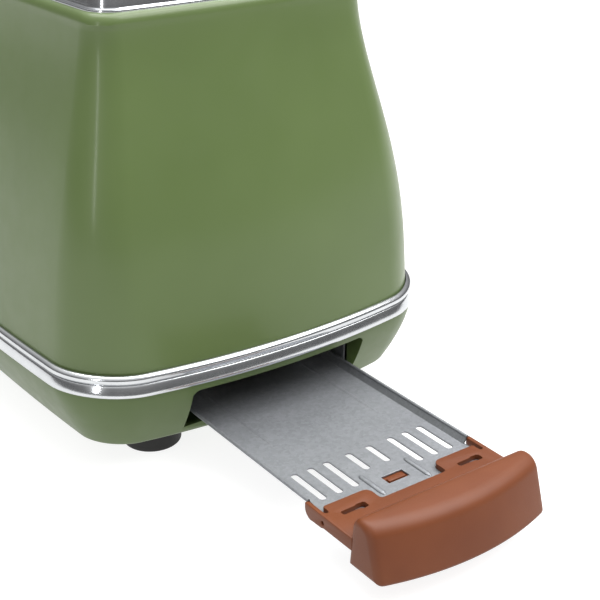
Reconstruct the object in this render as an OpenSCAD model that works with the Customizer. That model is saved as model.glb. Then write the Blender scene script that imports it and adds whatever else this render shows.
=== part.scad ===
// Two-slice pop-up toaster, standing on four feet, with its crumb tray drawn out.
// X runs across the width, the tray end faces -Y, the lever end faces +Y and Z is up.
// The origin is the middle of the footprint, on the surface that the feet stand on.

/* [Body] */
// Width over the chrome band
body_w = 190; // [184:1:228]
// Length over the chrome band
body_l = 290; // [284:1:348]
// Height to the top of the chrome deck
body_h = 195; // [192:1:234]
// How far the chrome deck stands above the painted rim
deck_rise = 11.7; // [8:0.1:16]
// Height of the feet under the base
foot_h = 10.75; // [8:0.25:16]
// Height of the painted base between the feet and the band
base_h = 29.25; // [28:0.25:36]
// Height of the chrome band
band_h = 9.25; // [7:0.25:12]
// How far the band stands out from the painted shell
band_proud = 2.9; // [2:0.1:4]
// Width across the opening in the painted rim
rim_w = 126; // [120:1:140]
// Length along the opening in the painted rim
rim_l = 226; // [220:1:250]
// Radius of the band's corners, seen from above
corner_r = 27.9; // [20:0.1:34]
// Radius of the corners at the rim
rim_corner_r = 11.2; // [8:0.1:16]
// How far the middle of an end stands out past its corners, at the band
end_bow = 11.66; // [6:0.1:14]
// How far the middle of a side stands out past its corners, at the band
side_bow = 7.24; // [4:0.1:9]
// Thickness of the painted shell
shell_t = 1.2; // [0.8:0.1:2]
// Thickness of the moulded base
base_t = 2.2; // [1.6:0.1:3]
// How far the base draws in from the band to its foot
base_taper = 13.25; // [8:0.25:16]
// Thickness of the chrome deck
deck_t = 0.9; // [0.8:0.1:1.5]

/* [Feet] */
// Radius of a rubber foot
foot_r = 12.5; // [9:0.5:14]
// Distance of a foot from the middle, across
foot_x = 45; // [36:1:52]
// Distance of a foot from the middle, along
foot_y = 107; // [100:1:110]

/* [Slots] */
// Width of a bread slot
slot_w = 32; // [26:0.5:38.5]
// Length of a bread slot
slot_l = 150; // [125:1:160]
// Distance from the middle to the centre line of a slot
slot_x = 28; // [26:0.5:30]
// Radius of the corners of a slot
slot_r = 2; // [1:0.5:10]

/* [Chassis] */
// Distance between the two chassis plates
chamber_l = 176; // [170:1:184]
// Thickness of the chassis sheet
sheet_t = 1.2; // [0.8:0.1:1.5]
// Thickness of a mica card
card_t = 0.8; // [0.5:0.1:1.2]
// Thickness of the heating ribbon
ribbon_t = 0.4; // [0.3:0.1:0.6]
// Distance between turns of the heating ribbon
ribbon_pitch = 10; // [8:0.5:14]
// Gap between the outer edge of a slot and its heater card
heater_gap = 8; // [6:0.5:9]
// Radius of the guard wires
wire_r = 0.9; // [0.7:0.1:1.2]
// Distance between guard wires
wire_pitch = 14; // [10:1:20]

/* [Carriage] */
// Height of the bread racks when the carriage is up
rack_z = 112; // [110:1:120]
// How far the carriage goes down to toast
carriage_down = 60; // [50:1:62]
// How far the lever lifts above its rest to raise small slices
carriage_lift = 10; // [4:1:12]
// Travel of a guard for each unit that the carriage moves
guard_ratio = 0.1; // [0.05:0.01:0.1]
// Radius of the guide rods
rod_r = 2; // [1.5:0.1:2.5]
// Distance of a guide rod from the middle
rod_x = 18; // [16:0.5:20]
// Height of the lever arm above the racks
arm_rise = 46; // [44:1:50]
// Width of the slot that the lever runs in
lever_slot_w = 9; // [7:0.5:12]
// Width of the lever knob
lever_knob_w = 44; // [30:1:60]

/* [Controls] */
// Radius of the browning knob
knob_r = 14; // [11:0.5:15]
// Height of the browning knob above the band
knob_rise = 19.8; // [18:0.1:21]
// Radius of a button
button_r = 4.5; // [3.5:0.1:5.5]
// Distance of the buttons from the middle
button_x = 40; // [36:1:46]
// Distance between buttons
button_pitch = 15; // [14:0.5:17]
// Travel of a button
button_travel = 2.5; // [1.5:0.1:3]

/* [Crumb tray] */
// How far the tray is drawn out
tray_out = 106; // [0:1:120]
// Width of the tray over its sides
tray_w = 79; // [65:0.5:82]
// Height of the underside of the tray above the foot of the base
tray_rise = 8.45; // [8.2:0.05:10]
// Thickness of the tray's sheet
tray_t = 0.8; // [0.6:0.1:1.2]
// Height of the tray's rolled sides
tray_h = 4; // [3.4:0.1:6]
// How far the tray's sides lean out
tray_lean = 2; // [0:0.1:3]
// Height of the grip
grip_h = 21.5; // [18:0.5:24]
// Depth of the grip at the middle of its foot
grip_d = 25; // [20:0.5:30]
// How far the front of the grip leans out from its top to its foot
grip_flare = 6.5; // [3:0.5:9]

/* [Fits] */
// Clearance round anything that slides
slide_gap = 0.6; // [0.4:0.1:1]
// Clearance round anything that turns or runs on a rod
run_gap = 0.2; // [0.1:0.05:0.3]
// Clearance round anything that is fixed in a hole
fix_gap = 0.1; // [0.05:0.05:0.2]

/* [Hidden] */
$fn = 48;

olive = "#6f8154";
chrome = "#c9ccd0";
steel = "#a9acb0";
tan = "#96603f";
black = "#1d1c1b";
mica = "#c9bda0";

// Heights of the main levels
band_z = foot_h + base_h;
shell_z = band_z + band_h;
rim_z = body_h - deck_rise;
rim_r = 4.5;                      // height of the rolled edge of the shell
rim_land = 1;                     // flat part of the rolled edge, which the deck sits on
wall_top_z = rim_z - rim_r;

// Half sizes of the shell where it meets the band, and where its rolled edge starts
shell_a = body_w / 2 - band_proud;
shell_b = body_l / 2 - band_proud;
roll_in = 2.8;
top_a = rim_w / 2 + roll_in;
top_b = rim_l / 2 + roll_in;
rim_end_bow = 2.4;
rim_side_bow = 3;

// The shell leans in slowly at first, then faster, and flares upright at the rim
lean_straight = 0.49;
lean_power = 1.47;

// Levels and points of a lofted skin
arc_n = 6;
side_n = 6;
wall_n = 12;
roll_n = 4;

function mix(a, b, t) = a + (b - a) * t;
function smooth(t) = t * t * (3 - 2 * t);
function lean(t) = lean_straight * t + (1 - lean_straight) * smooth(pow(t, lean_power));
function level(z) = (z - shell_z) / (wall_top_z - shell_z);

// A corner's centre, and the outline of a round-cornered rectangle of half sizes a and b
function corner(k, a, b, r) = [(k == 0 || k == 3 ? 1 : -1) * (a - r), (k < 2 ? 1 : -1) * (b - r)];
function spoke(k, r) = r * [cos(90 * k), sin(90 * k)];
function outline(a, b, r) = [
    for (k = [0:3]) each concat(
        [for (j = [0:arc_n]) corner(k, a, b, r) + spoke(k + j / arc_n, r)],
        [for (j = [1:side_n - 1]) mix(corner(k, a, b, r) + spoke(k + 1, r),
            corner((k + 1) % 4, a, b, r) + spoke(k + 1, r), j / side_n)])
];

// The same outline with its ends and sides bowed out from the corners, as one level of a loft
function bowed(p, a, b, end, side) = [
    p.x - side * sign(p.x) * pow(p.y / b, 2) * abs(p.x) / a,
    p.y - end * sign(p.y) * pow(p.x / a, 2) * abs(p.y) / b
];
function ring(a, b, r, end, side, z) = [
    for (p = outline(a, b, r)) let (q = bowed(p, a, b, end, side)) [q.x, q.y, z]
];

// A closed skin through a list of rings, from the lowest to the highest
module loft(rings) {
    n = len(rings[0]);
    last = len(rings) - 1;
    polyhedron(
        points = [for (level = rings) each level],
        faces = concat(
            [[for (i = [0:n - 1]) i]],
            [[for (i = [n - 1:-1:0]) last * n + i]],
            [for (k = [0:last - 1], i = [0:n - 1])
                let (j = (i + 1) % n) [k * n + i, (k + 1) * n + i, (k + 1) * n + j]],
            [for (k = [0:last - 1], i = [0:n - 1])
                let (j = (i + 1) % n) [k * n + i, (k + 1) * n + j, k * n + j]]),
        convexity = 6);
}

// A rectangle with true round corners, centred
module round_rect(w, l, r) {
    square([w - 2 * r, l], center = true);
    square([w, l - 2 * r], center = true);
    for (x = [-1, 1], y = [-1, 1])
        translate([x * (w / 2 - r), y * (l / 2 - r)]) circle(r);
}

// A box from its lowest to its highest corner
module block(low, high) {
    translate(low) cube(high - low);
}

// A cylinder along Y that starts at y
module rod_y(x, y, z, r, length) {
    translate([x, y, z]) rotate([-90, 0, 0]) cylinder(r = r, h = length);
}

// ---- Outer skins ----

// One level of the shell's side, with t from 0 at the band to 1 where the rolled edge starts
function shell_ring(t, out, z) = let (
        s = lean(t),
        u = (z - shell_z) / (rim_z - shell_z),
        v = max(0, min(1, u)))
    ring(mix(shell_a, top_a, s) + out, mix(shell_b, top_b, s) + out,
        mix(corner_r - 2, rim_corner_r, v) + out,
        mix(end_bow, rim_end_bow, v), mix(side_bow, rim_side_bow, v), z);

// One level of the rolled edge, with t from 0 at its start to 1 on top
function roll_ring(t, from_out, to_a, height) = let (
        draw = (1 - cos(90 * t)) * (top_a + from_out - to_a))
    ring(top_a + from_out - draw, top_b + from_out - draw, rim_corner_r + from_out * (1 - t),
        rim_end_bow, rim_side_bow, wall_top_z + height * sin(90 * t));

// The shell's side grown by out, up to the level where its rolled edge starts
function side_rings(out) = concat(
    [shell_ring(0, out, band_z)],
    [for (i = [0:wall_n]) shell_ring(i / wall_n, out, mix(shell_z, wall_top_z, i / wall_n))]);

// Where the outside of the lever end's wall is, at x across and z up
function wall_y(x, z) = let (
        t = max(0, level(z)),
        u = max(0, (z - shell_z) / (rim_z - shell_z)))
    mix(shell_b, top_b, lean(t))
        - mix(end_bow, rim_end_bow, u) * pow(x / mix(shell_a, top_a, lean(t)), 2);

// ---- Places that several pieces share ----
land_a = rim_w / 2;               // outer edge of the flat land under the deck
hole_a = land_a - rim_land;       // edge of the opening in the shell
chassis_y = chamber_l / 2;
outer_card_x = slot_x + slot_w / 2 + heater_gap;
reflector_x = outer_card_x + 4;
chassis_w = 2 * (reflector_x + 2);
top_plate_z = rim_z - 6.5;
liner_z = top_plate_z + sheet_t;
collar_z = body_h - 7;            // lower edge of the deck's turned-down slot edges
collar_t = 1;
floor_z = foot_h + base_t;        // top of the base's floor
plate_z = floor_z + 1;            // top of the base plate
plate_hole = [112, 168];
plate_size = [136, 192];
screw_x = 62;
screw_y = 72;
screw_r = 1.5;
screw_head_r = 3;
screw_head_h = 1.8;
foot_stem_r = 3;
cord_x = 52;                      // middle of the cord's gland
cord_z = floor_z + 10;
gland_r = 6;
through = 30;                     // length of a cut that goes right through a sheet
top_plate_end = 17;               // how far the top plate runs past each chassis plate

rod_y0 = chassis_y + sheet_t + 8.3;   // guide rods and springs
tab_z = 40;                           // shelf that the rods and the magnet stand on
tab_l = 14;
bracket_y = chassis_y + 4;
bracket_t = 1.2;
bracket_low = rack_z - 7;
arm_z = rack_z + arm_rise;
arm_h = 8;
arm_t = 4;
bracket_high = arm_z + arm_h / 2;
spring_x = 30;
spring_r = 3;
spring_wire_r = 0.5;
spring_seat_t = 2;
magnet_a = 9;
magnet_h = 20;
magnet_gap = 0.3;
latch_t = 2;
latch_z = tab_z + sheet_t + magnet_h + magnet_gap + carriage_down;

knob_z = shell_z + knob_rise;
ring_r = knob_r + 2.5;
lever_knob_h = 15;
lever_knob_d = 16;
lever_knob_y = wall_y(0, arm_z - carriage_down - lever_knob_h / 2) + 2.5;
lever_slot_over = 1.5;            // room above and below the arm's travel
slot_low = arm_z - carriage_down - arm_h / 2 - lever_slot_over;
slot_high = arm_z + carriage_lift + arm_h / 2 + lever_slot_over;
board_y = wall_y(0, knob_z) - 22;     // front face of the control board
board_t = 1.6;
switch_h = 6;
button_z = [for (i = [-1:1]) knob_z + 4 + i * button_pitch];
button_h = 9;
stem_r = 2;
stem_in = 0.8;                    // how far a button's stem stands in its switch
bezel_w = 1.8;
shaft_r = 3;
knob_depth = 14;                  // how far the knob stands out of the wall
shaft_socket = 5;                 // solid front of the knob, past its shaft

pocket_y = -(body_l / 2 - 0.85 - base_taper);   // back wall of the grip's recess
pocket_a = tray_w / 2 + 3.5;
pocket_lip = 3;                   // wall left between the recess and the band
pocket_top = band_z - pocket_lip;
tray_z = foot_h + tray_rise;      // underside of the tray's floor
sill_z = tray_z - 3.2;
tray_back = chassis_y + 12 - tray_out;
tray_floor_a = tray_w / 2 - tray_lean;

// The handle: its places along the tray are measured from the back face of the grip
grip_y = pocket_y - tray_out;
grip_z = tray_z - 9.2;
grip_top = grip_z + grip_h;
grip_radius = 123;
grip_a = tray_w / 2 + 0.7;
handle_plate_t = 2.3;
handle_plate_z = tray_z + tray_t + handle_plate_t;
centre_reach = 11;                // the plate between the two tabs
shoulder_reach = 15;              // the plate beside the tabs
tab_reach = 19;
ear_reach = 24.8;
tab_in = 15.8;                    // inner edge of a tab
tab_out = grip_a - 3.6;           // outer edge of a tab
ear_t = 1.8;
catch_a = 5;                      // opening in the tray for the handle's catch
catch_reach = [19.5, 24.5];
tray_front = grip_y + 0.2;
rail_x = tray_w / 2 + 2.2;
rib_h = 0.6;
rib_x = 11;

// ---- Body ----

module body_shell() {
    color(olive) difference() {
        loft(concat(side_rings(0),
            [for (i = [1:roll_n]) roll_ring(i / roll_n, 0, land_a, rim_r)],
            [ring(hole_a, hole_a - land_a + rim_l / 2, rim_corner_r - 1, rim_end_bow,
                rim_side_bow, rim_z)]));
        loft(concat(
            [shell_ring(0, -shell_t, band_z - 1)],
            [for (i = [1:wall_n])
                shell_ring(i / wall_n, -shell_t, mix(shell_z, wall_top_z, i / wall_n))],
            [for (i = [1:roll_n]) roll_ring(i / roll_n, -shell_t, hole_a, rim_r - shell_t)],
            [ring(hole_a, hole_a - land_a + rim_l / 2, rim_corner_r - 1, rim_end_bow,
                rim_side_bow, rim_z + 1)]));
        block([-lever_slot_w / 2, shell_b / 2, slot_low], [lever_slot_w / 2, body_l, slot_high]);
        rod_y(0, shell_b / 2, knob_z, ring_r + fix_gap, body_l / 2);
        for (z = button_z)
            rod_y(button_x, shell_b / 2, z, button_r + bezel_w + run_gap + fix_gap, body_l / 2);
    }
}

module chrome_band() {
    facet_z = band_z + band_h * 0.55;
    bead_r = (shell_z - facet_z) / 2;
    a = body_w / 2;
    b = body_l / 2;
    // half size, drawn in by d, at a level
    function level(d, z) = ring(a - d, b - d, corner_r - d, end_bow, side_bow, z);
    color(chrome) difference() {
        loft(concat(
            [level(0.5, band_z), level(0, band_z + 0.6), level(0.5, facet_z), level(1, facet_z + 0.1)],
            [for (th = [-60:30:90])
                level(2.6 - bead_r * cos(th), facet_z + bead_r + 0.01 + bead_r * sin(th))]));
        loft([level(band_proud - fix_gap, band_z - 1), level(band_proud - fix_gap, shell_z + 1)]);
    }
}

// One level of the base's side, with t from 0 at its foot to 1 under the band
function base_ring(t, out, z) = let (
        d = 1 + base_taper * pow(1 - t, 1.35) + (t < 0.08 ? 2 * pow(1 - t / 0.08, 2) : 0))
    ring(body_w / 2 - d + out, body_l / 2 - d + out, mix(16, corner_r - 1, t) + out,
        mix(9, end_bow, t), mix(5.5, side_bow, t), z);
base_steps = [0, 0.03, 0.08, 0.2, 0.35, 0.5, 0.7, 0.85, 1];

module base_solid() {
    loft([for (t = base_steps) base_ring(t, 0, mix(foot_h, band_z, t))]);
}

module base() {
    color(olive) difference() {
        union() {
            difference() {
                base_solid();
                loft(concat(
                    [for (t = [0.08, 0.2, 0.35, 0.5, 0.7, 0.85])
                        base_ring(t, -base_t, t == 0.08 ? floor_z : mix(foot_h, band_z, t))],
                    [base_ring(1, -base_t, band_z + 1)]));
            }
            intersection() {
                base_solid();
                block([-pocket_a - base_t, -body_l, 0],
                    [pocket_a + base_t, pocket_y + base_t, pocket_top + base_t]);
            }
        }
        block([-pocket_a, -body_l, 0], [pocket_a, pocket_y, pocket_top]);
        block([-pocket_a, -body_l, sill_z], [pocket_a, pocket_y + base_t + 1, pocket_top]);
        block([-plate_hole.x / 2, -plate_hole.y / 2, 0], [plate_hole.x / 2, plate_hole.y / 2, floor_z + 1]);
        for (x = [-1, 1], y = [-1, 1]) {
            translate([x * foot_x, y * foot_y, 0]) cylinder(r = foot_stem_r + fix_gap, h = through);
            translate([x * screw_x, y * screw_y, 0]) cylinder(r = screw_r + fix_gap, h = through);
        }
        rod_y(cord_x, body_l / 4, cord_z, gland_r + fix_gap, body_l / 4);
    }
}

air_slot = [60, 5];
air_slot_pitch = 20;
module base_plate() {
    color(steel) difference() {
        translate([0, 0, floor_z]) linear_extrude(plate_z - floor_z)
            round_rect(plate_size.x, plate_size.y, 6);
        for (i = [-3:3])
            translate([0, i * air_slot_pitch, 0]) linear_extrude(through)
                round_rect(air_slot.x, air_slot.y, air_slot.y / 2 - 0.1);
        for (x = [-1, 1], y = [-1, 1])
            translate([x * screw_x, y * screw_y, 0]) cylinder(r = screw_r + fix_gap, h = through);
    }
}

module foot(x, y) {
    sole_h = 2;
    sole_in = 1.5;
    stem_over = 2;
    color(black) translate([x * foot_x, y * foot_y, 0]) {
        cylinder(r = foot_stem_r, h = floor_z + stem_over);
        translate([0, 0, sole_h]) cylinder(r = foot_r, h = foot_h - sole_h);
        cylinder(r1 = foot_r - sole_in, r2 = foot_r, h = sole_h);
    }
}

module top_deck() {
    lip_d = 0.2;
    wall_d = 2.4;
    lean_d = 1.4;
    round_r = 3.4;
    wall_top = body_h - round_r;
    lip_top = rim_z + 0.8;
    function level(d, z) = ring(land_a - d, rim_l / 2 - d, max(2, rim_corner_r - d),
        rim_end_bow, rim_side_bow, z);
    color(chrome) difference() {
        union() {
            difference() {
                loft(concat(
                    [level(lip_d, rim_z), level(lip_d, lip_top), level(wall_d, lip_top),
                        level(wall_d + lean_d, wall_top)],
                    [for (th = [15:15:90]) level(wall_d + lean_d + round_r * (1 - cos(th)),
                        wall_top + round_r * sin(th))]));
                loft([level(wall_d + deck_t, rim_z - 1), level(wall_d + deck_t, lip_top),
                    level(wall_d + lean_d + deck_t, wall_top),
                    level(wall_d + lean_d + deck_t + 1, body_h - deck_t - 1),
                    level(wall_d + lean_d + round_r, body_h - deck_t)]);
            }
            for (x = [-slot_x, slot_x])
                translate([x, 0, collar_z]) linear_extrude(body_h - deck_t / 2 - collar_z)
                    round_rect(slot_w + 2 * collar_t, slot_l + 2 * collar_t, slot_r + collar_t);
        }
        for (x = [-slot_x, slot_x])
            translate([x, 0, collar_z - 1]) linear_extrude(body_h)
                round_rect(slot_w, slot_l, slot_r);
    }
}

module slot_liner(x) {
    color(steel) translate([x * slot_x, 0, liner_z]) linear_extrude(collar_z - liner_z) difference() {
        round_rect(slot_w + 2 * collar_t, slot_l + 2 * collar_t, slot_r + collar_t);
        round_rect(slot_w, slot_l, slot_r);
    }
}

// ---- Chassis ----

screw_off = 6.5;                  // from a chassis plate's inner face to its screws
chassis_screw = [50, chassis_y + screw_off];
rack_t = 2;                       // thickness of a bread rack's rail
rack_h = 4;
rack_slot_w = rack_t + 3;
rack_slot_over = rack_h / 2 + 2;  // room above and below the rail's travel

module chassis_top_plate() {
    color(steel) difference() {
        block([-chassis_w / 2, -chassis_y - top_plate_end, top_plate_z],
            [chassis_w / 2, chassis_y + top_plate_end, liner_z]);
        for (x = [-slot_x, slot_x])
            translate([x, 0, top_plate_z - 1]) linear_extrude(through) round_rect(slot_w, slot_l, slot_r);
        for (x = [-rod_x, rod_x])
            translate([x, rod_y0, top_plate_z - 1]) cylinder(r = rod_r + fix_gap, h = through);
        for (x = [-1, 1], y = [-1, 1])
            translate([x * chassis_screw.x, y * chassis_screw.y, top_plate_z - 1])
                cylinder(r = screw_r + fix_gap, h = through);
    }
}

// Where each guard hangs: its side of the slot's centre line, from the left
guard_x = slot_w / 2;
pin_r = 1.25;
pin_overhang = 1.8;               // how far a pin's end stands out of its chassis plate
pin_z = [60, top_plate_z - 12];
wire_over = 4;                    // how far a guard's wires run past its pins
guard_in = guard_ratio * carriage_down;
guard_out = guard_ratio * carriage_lift;

// A slot through a chassis plate for the pins of the guard at x, which closes towards side
module guard_slot(x, closes) {
    low = x - (closes > 0 ? guard_out : guard_in) - pin_r - slide_gap;
    high = x + (closes > 0 ? guard_in : guard_out) + pin_r + slide_gap;
    for (z = pin_z) block([low, -50, z - pin_r - run_gap], [high, 50, z + pin_r + run_gap]);
}

// A chassis plate from y = 0 to sheet_t, with its screw tabs on the side that faces away from the bread
plate_low = 36;                   // lower edge of a chassis plate, above the tray
leg_w = 11;
screw_tab = [16, 11];
module chassis_plate(out) {
    leg_x = chassis_w / 2 - leg_w / 2;
    tab_y = out > 0 ? 0 : sheet_t - screw_tab.y;
    difference() {
        union() {
            block([-chassis_w / 2, 0, plate_low], [chassis_w / 2, sheet_t, top_plate_z]);
            for (side = [-1, 1]) {
                block([side * leg_x - leg_w / 2, 0, plate_z],
                    [side * leg_x + leg_w / 2, sheet_t, plate_low + 1]);
                block([side * chassis_screw.x - screw_tab.x / 2, tab_y, top_plate_z - sheet_t],
                    [side * chassis_screw.x + screw_tab.x / 2, tab_y + screw_tab.y, top_plate_z]);
            }
        }
        for (x = [-slot_x, slot_x])
            block([x - rack_slot_w / 2, -sheet_t, rack_z - carriage_down - rack_slot_over],
                [x + rack_slot_w / 2, 2 * sheet_t, rack_z + carriage_lift + rack_slot_over]);
        for (side = [-1, 1]) {
            guard_slot(side * (slot_x + guard_x), -side);
            guard_slot(side * (slot_x - guard_x), side);
            translate([side * chassis_screw.x, out > 0 ? screw_off : sheet_t - screw_off, top_plate_z - 5])
                cylinder(r = screw_r + fix_gap, h = through);
        }
    }
}

module chassis_plate_lever_end() {
    color(steel) translate([0, chassis_y, 0]) {
        chassis_plate(1);
        difference() {
            block([-rod_x - 5, sheet_t / 2, tab_z], [rod_x + 5, sheet_t + tab_l, tab_z + sheet_t]);
            for (x = [-rod_x, rod_x])
                translate([x, rod_y0 - chassis_y, tab_z - 1]) cylinder(r = rod_r + fix_gap, h = 4);
        }
    }
}

module chassis_plate_tray_end() {
    color(steel) translate([0, -chassis_y - sheet_t, 0]) chassis_plate(-1);
}

reflector_t = 0.8;
module reflector(side) {
    color(chrome) block([side * reflector_x - reflector_t / 2, -chassis_y, plate_low + 2],
        [side * reflector_x + reflector_t / 2, chassis_y, top_plate_z]);
}

card_low = 50;
card_high = top_plate_z - 3;
card_edge = 8;                    // from a chassis plate to the wound part of a card
card_tab_h = 6;

module heater_card(x) {
    color(mica) translate([x, 0, 0]) {
        block([-card_t / 2, -chassis_y + card_edge, card_low], [card_t / 2, chassis_y - card_edge, card_high]);
        for (z = [card_low, card_high - card_tab_h])
            block([-card_t / 2, -chassis_y, z], [card_t / 2, chassis_y, z + card_tab_h]);
    }
}

ribbon_h = 1.5;
ribbon_low = card_low + 10;
ribbon_count = floor((card_high - 8 - ribbon_low) / ribbon_pitch) + 1;

module heating_wire(x) {
    half = card_t / 2 + ribbon_t;
    edge = chassis_y - card_edge;
    color("#8a8f94") translate([x, 0, 0]) for (i = [0:ribbon_count - 1]) {
        z = ribbon_low + i * ribbon_pitch;
        difference() {
            block([-half, -edge - ribbon_t, z], [half, edge + ribbon_t, z + ribbon_h]);
            block([-card_t / 2, -edge, z - 1], [card_t / 2, edge, z + ribbon_h + 1]);
        }
        if (i < ribbon_count - 1) {
            y = i % 2 == 0 ? edge : -edge - ribbon_t;
            block([-half, y, z + ribbon_h / 2], [half, y + ribbon_t, z + ribbon_pitch + ribbon_h / 2]);
        }
    }
}

module guard(x) {
    wires = floor((slot_l - 10) / wire_pitch / 2);
    color(chrome) translate([x, 0, 0]) {
        for (z = pin_z)
            rod_y(0, -chassis_y - sheet_t - pin_overhang, z, pin_r,
                chamber_l + 2 * (sheet_t + pin_overhang));
        for (i = [-wires:wires])
            translate([0, i * wire_pitch, pin_z[0] - wire_over])
                cylinder(r = wire_r, h = pin_z[1] - pin_z[0] + 2 * wire_over);
    }
}

// ---- Carriage ----

module bread_rack(x) {
    wires = floor((slot_l - 10) / wire_pitch / 2);
    rack_wire_r = 1;
    reach = guard_x - guard_in - wire_r - slide_gap - 0.5;
    color(steel) translate([x * slot_x, 0, 0]) {
        block([-rack_t / 2, -chassis_y - 4, rack_z - rack_h / 2], [rack_t / 2, bracket_y, rack_z + rack_h / 2]);
        for (i = [-wires:wires - 1])
            translate([-reach, (i + 0.5) * wire_pitch, rack_z + 1])
                rotate([0, 90, 0]) cylinder(r = rack_wire_r, h = 2 * reach);
    }
}

module carriage_bracket() {
    bracket_a = slot_x + 6;
    sleeve_t = 2.5;
    sleeve_short = 8;                 // how far a sleeve stops below the bracket's top
    color(steel) {
        difference() {
            union() {
                block([-bracket_a, bracket_y, bracket_low], [bracket_a, bracket_y + bracket_t, bracket_high]);
                for (x = [-rod_x, rod_x]) translate([x, rod_y0, bracket_low])
                    cylinder(r = rod_r + sleeve_t, h = bracket_high - bracket_low - sleeve_short);
            }
            block([-magnet_a - 4, bracket_y - 1, bracket_low - 1], [magnet_a + 4, rod_y0 + 10, latch_z + latch_t]);
            for (x = [-rod_x, rod_x]) translate([x, rod_y0, bracket_low - 1])
                cylinder(r = rod_r + run_gap, h = bracket_high);
        }
        for (side = [-1, 1])
            block([side * spring_x - spring_r, bracket_y + bracket_t / 2, bracket_low],
                [side * spring_x + spring_r, rod_y0 + spring_r, bracket_low + spring_seat_t]);
    }
}

module latch_plate() {
    color("#6d7074") block([-magnet_a, bracket_y, latch_z], [magnet_a, rod_y0 + 4, latch_z + latch_t]);
}

module electromagnet() {
    z = tab_z + sheet_t;
    y = [chassis_y + sheet_t + 2, chassis_y + sheet_t + tab_l - 2];
    core_t = 3;
    coil_a = 5;
    color("#6d7074") {
        block([-magnet_a, y[0], z], [magnet_a, y[1], z + core_t]);
        for (x = [-magnet_a, magnet_a - core_t]) block([x, y[0], z], [x + core_t, y[1], z + magnet_h]);
    }
    color("#a5562b") block([-coil_a, y[0], z + core_t], [coil_a, y[1], z + magnet_h - core_t]);
}

module guide_rod(side) {
    color(chrome) translate([side * rod_x, rod_y0, tab_z - 2])
        cylinder(r = rod_r, h = liner_z - tab_z + 3);
}

// A coil of round wire as one tube, from low to high
turns = 13;
coil_steps = 9;
wire_sides = 6;
module lift_spring(side) {
    low = bracket_low + spring_seat_t;
    high = top_plate_z;
    n = turns * coil_steps;
    rise = (high - low - 2 * spring_wire_r) / n;
    mid_r = spring_r - spring_wire_r;
    function at(i, k) = let (
            th = 360 * i / coil_steps,
            r = mid_r + spring_wire_r * cos(360 * k / wire_sides))
        [r * cos(th), r * sin(th),
            low + spring_wire_r + i * rise + spring_wire_r * sin(360 * k / wire_sides)];
    color(chrome) translate([side * spring_x, rod_y0, 0]) polyhedron(
        points = [for (i = [0:n], k = [0:wire_sides - 1]) at(i, k)],
        faces = concat(
            [[for (k = [0:wire_sides - 1]) k]],
            [[for (k = [wire_sides - 1:-1:0]) n * wire_sides + k]],
            [for (i = [0:n - 1], k = [0:wire_sides - 1]) let (j = (k + 1) % wire_sides)
                [i * wire_sides + k, (i + 1) * wire_sides + k, (i + 1) * wire_sides + j]],
            [for (i = [0:n - 1], k = [0:wire_sides - 1]) let (j = (k + 1) % wire_sides)
                [i * wire_sides + k, (i + 1) * wire_sides + j, i * wire_sides + j]]),
        convexity = 8);
}

socket_d = 9;
module lever_arm() {
    color(steel) block([-arm_t / 2, bracket_y + bracket_t, arm_z - arm_h / 2],
        [arm_t / 2, lever_knob_y + socket_d, arm_z + arm_h / 2]);
}

module lever_knob() {
    color(tan) difference() {
        translate([-lever_knob_w / 2, lever_knob_y + lever_knob_d / 2, arm_z])
            rotate([90, 0, 90]) linear_extrude(lever_knob_w)
                round_rect(lever_knob_d, lever_knob_h, 5);
        block([-arm_t / 2 - fix_gap, 0, arm_z - arm_h / 2 - fix_gap],
            [arm_t / 2 + fix_gap, lever_knob_y + socket_d, arm_z + arm_h / 2 + fix_gap]);
    }
}

module lever_slot_trim() {
    edge = 3;
    color(chrome) difference() {
        intersection() {
            loft(side_rings(0.9));
            block([-lever_slot_w / 2 - edge, shell_b / 2, slot_low - edge],
                [lever_slot_w / 2 + edge, body_l, slot_high + edge]);
        }
        loft(side_rings(0.05));
        block([-lever_slot_w / 2, 0, slot_low], [lever_slot_w / 2, body_l, slot_high]);
    }
}

// ---- Controls ----

knob_wall_y = wall_y(0, knob_z);
knob_front = knob_wall_y + knob_depth;
knob_in = 3;                      // how far the knob's skirt reaches inside the wall
knob_edge = [1.5, 2];
module browning_knob() {
    color(tan) difference() {
        union() {
            rod_y(0, knob_wall_y - knob_in, knob_z, knob_r, knob_depth + knob_in - knob_edge.y);
            translate([0, knob_front - knob_edge.y, knob_z]) rotate([-90, 0, 0])
                cylinder(r1 = knob_r, r2 = knob_r - knob_edge.x, h = knob_edge.y);
        }
        rod_y(0, 0, knob_z, shaft_r + fix_gap, knob_front - shaft_socket);
    }
}

module browning_shaft() {
    shaft_y = board_y + 2;
    color(steel) rod_y(0, shaft_y, knob_z, shaft_r, knob_front - shaft_socket - shaft_y);
}

module browning_control() {
    color(black) difference() {
        rod_y(0, board_y, knob_z, 8, 7);
        rod_y(0, board_y + 1, knob_z, shaft_r + run_gap, 8);
    }
}

module knob_ring() {
    color(chrome) difference() {
        rod_y(0, knob_wall_y - 9, knob_z, ring_r, 11.5);
        rod_y(0, 0, knob_z, knob_r + slide_gap, body_l);
    }
}

module button(z) {
    cap_back = wall_y(button_x, z) + 4 - button_h;
    stem_y = board_y + switch_h - stem_in;
    color(chrome) {
        rod_y(button_x, cap_back, z, button_r, button_h);
        rod_y(button_x, stem_y, z, stem_r, cap_back + 1 - stem_y);
    }
}

module button_rings() {
    color(steel) for (z = button_z) difference() {
        rod_y(button_x, wall_y(button_x, z) - 4, z, button_r + run_gap + bezel_w, 6);
        rod_y(button_x, 0, z, button_r + run_gap, body_l);
    }
}

module button_switches() {
    switch_a = 3.5;
    color(black) for (z = button_z) difference() {
        block([button_x - switch_a, board_y, z - switch_a], [button_x + switch_a, board_y + switch_h, z + switch_a]);
        rod_y(button_x, board_y + 2, z, stem_r + run_gap, switch_h);
    }
}

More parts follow.
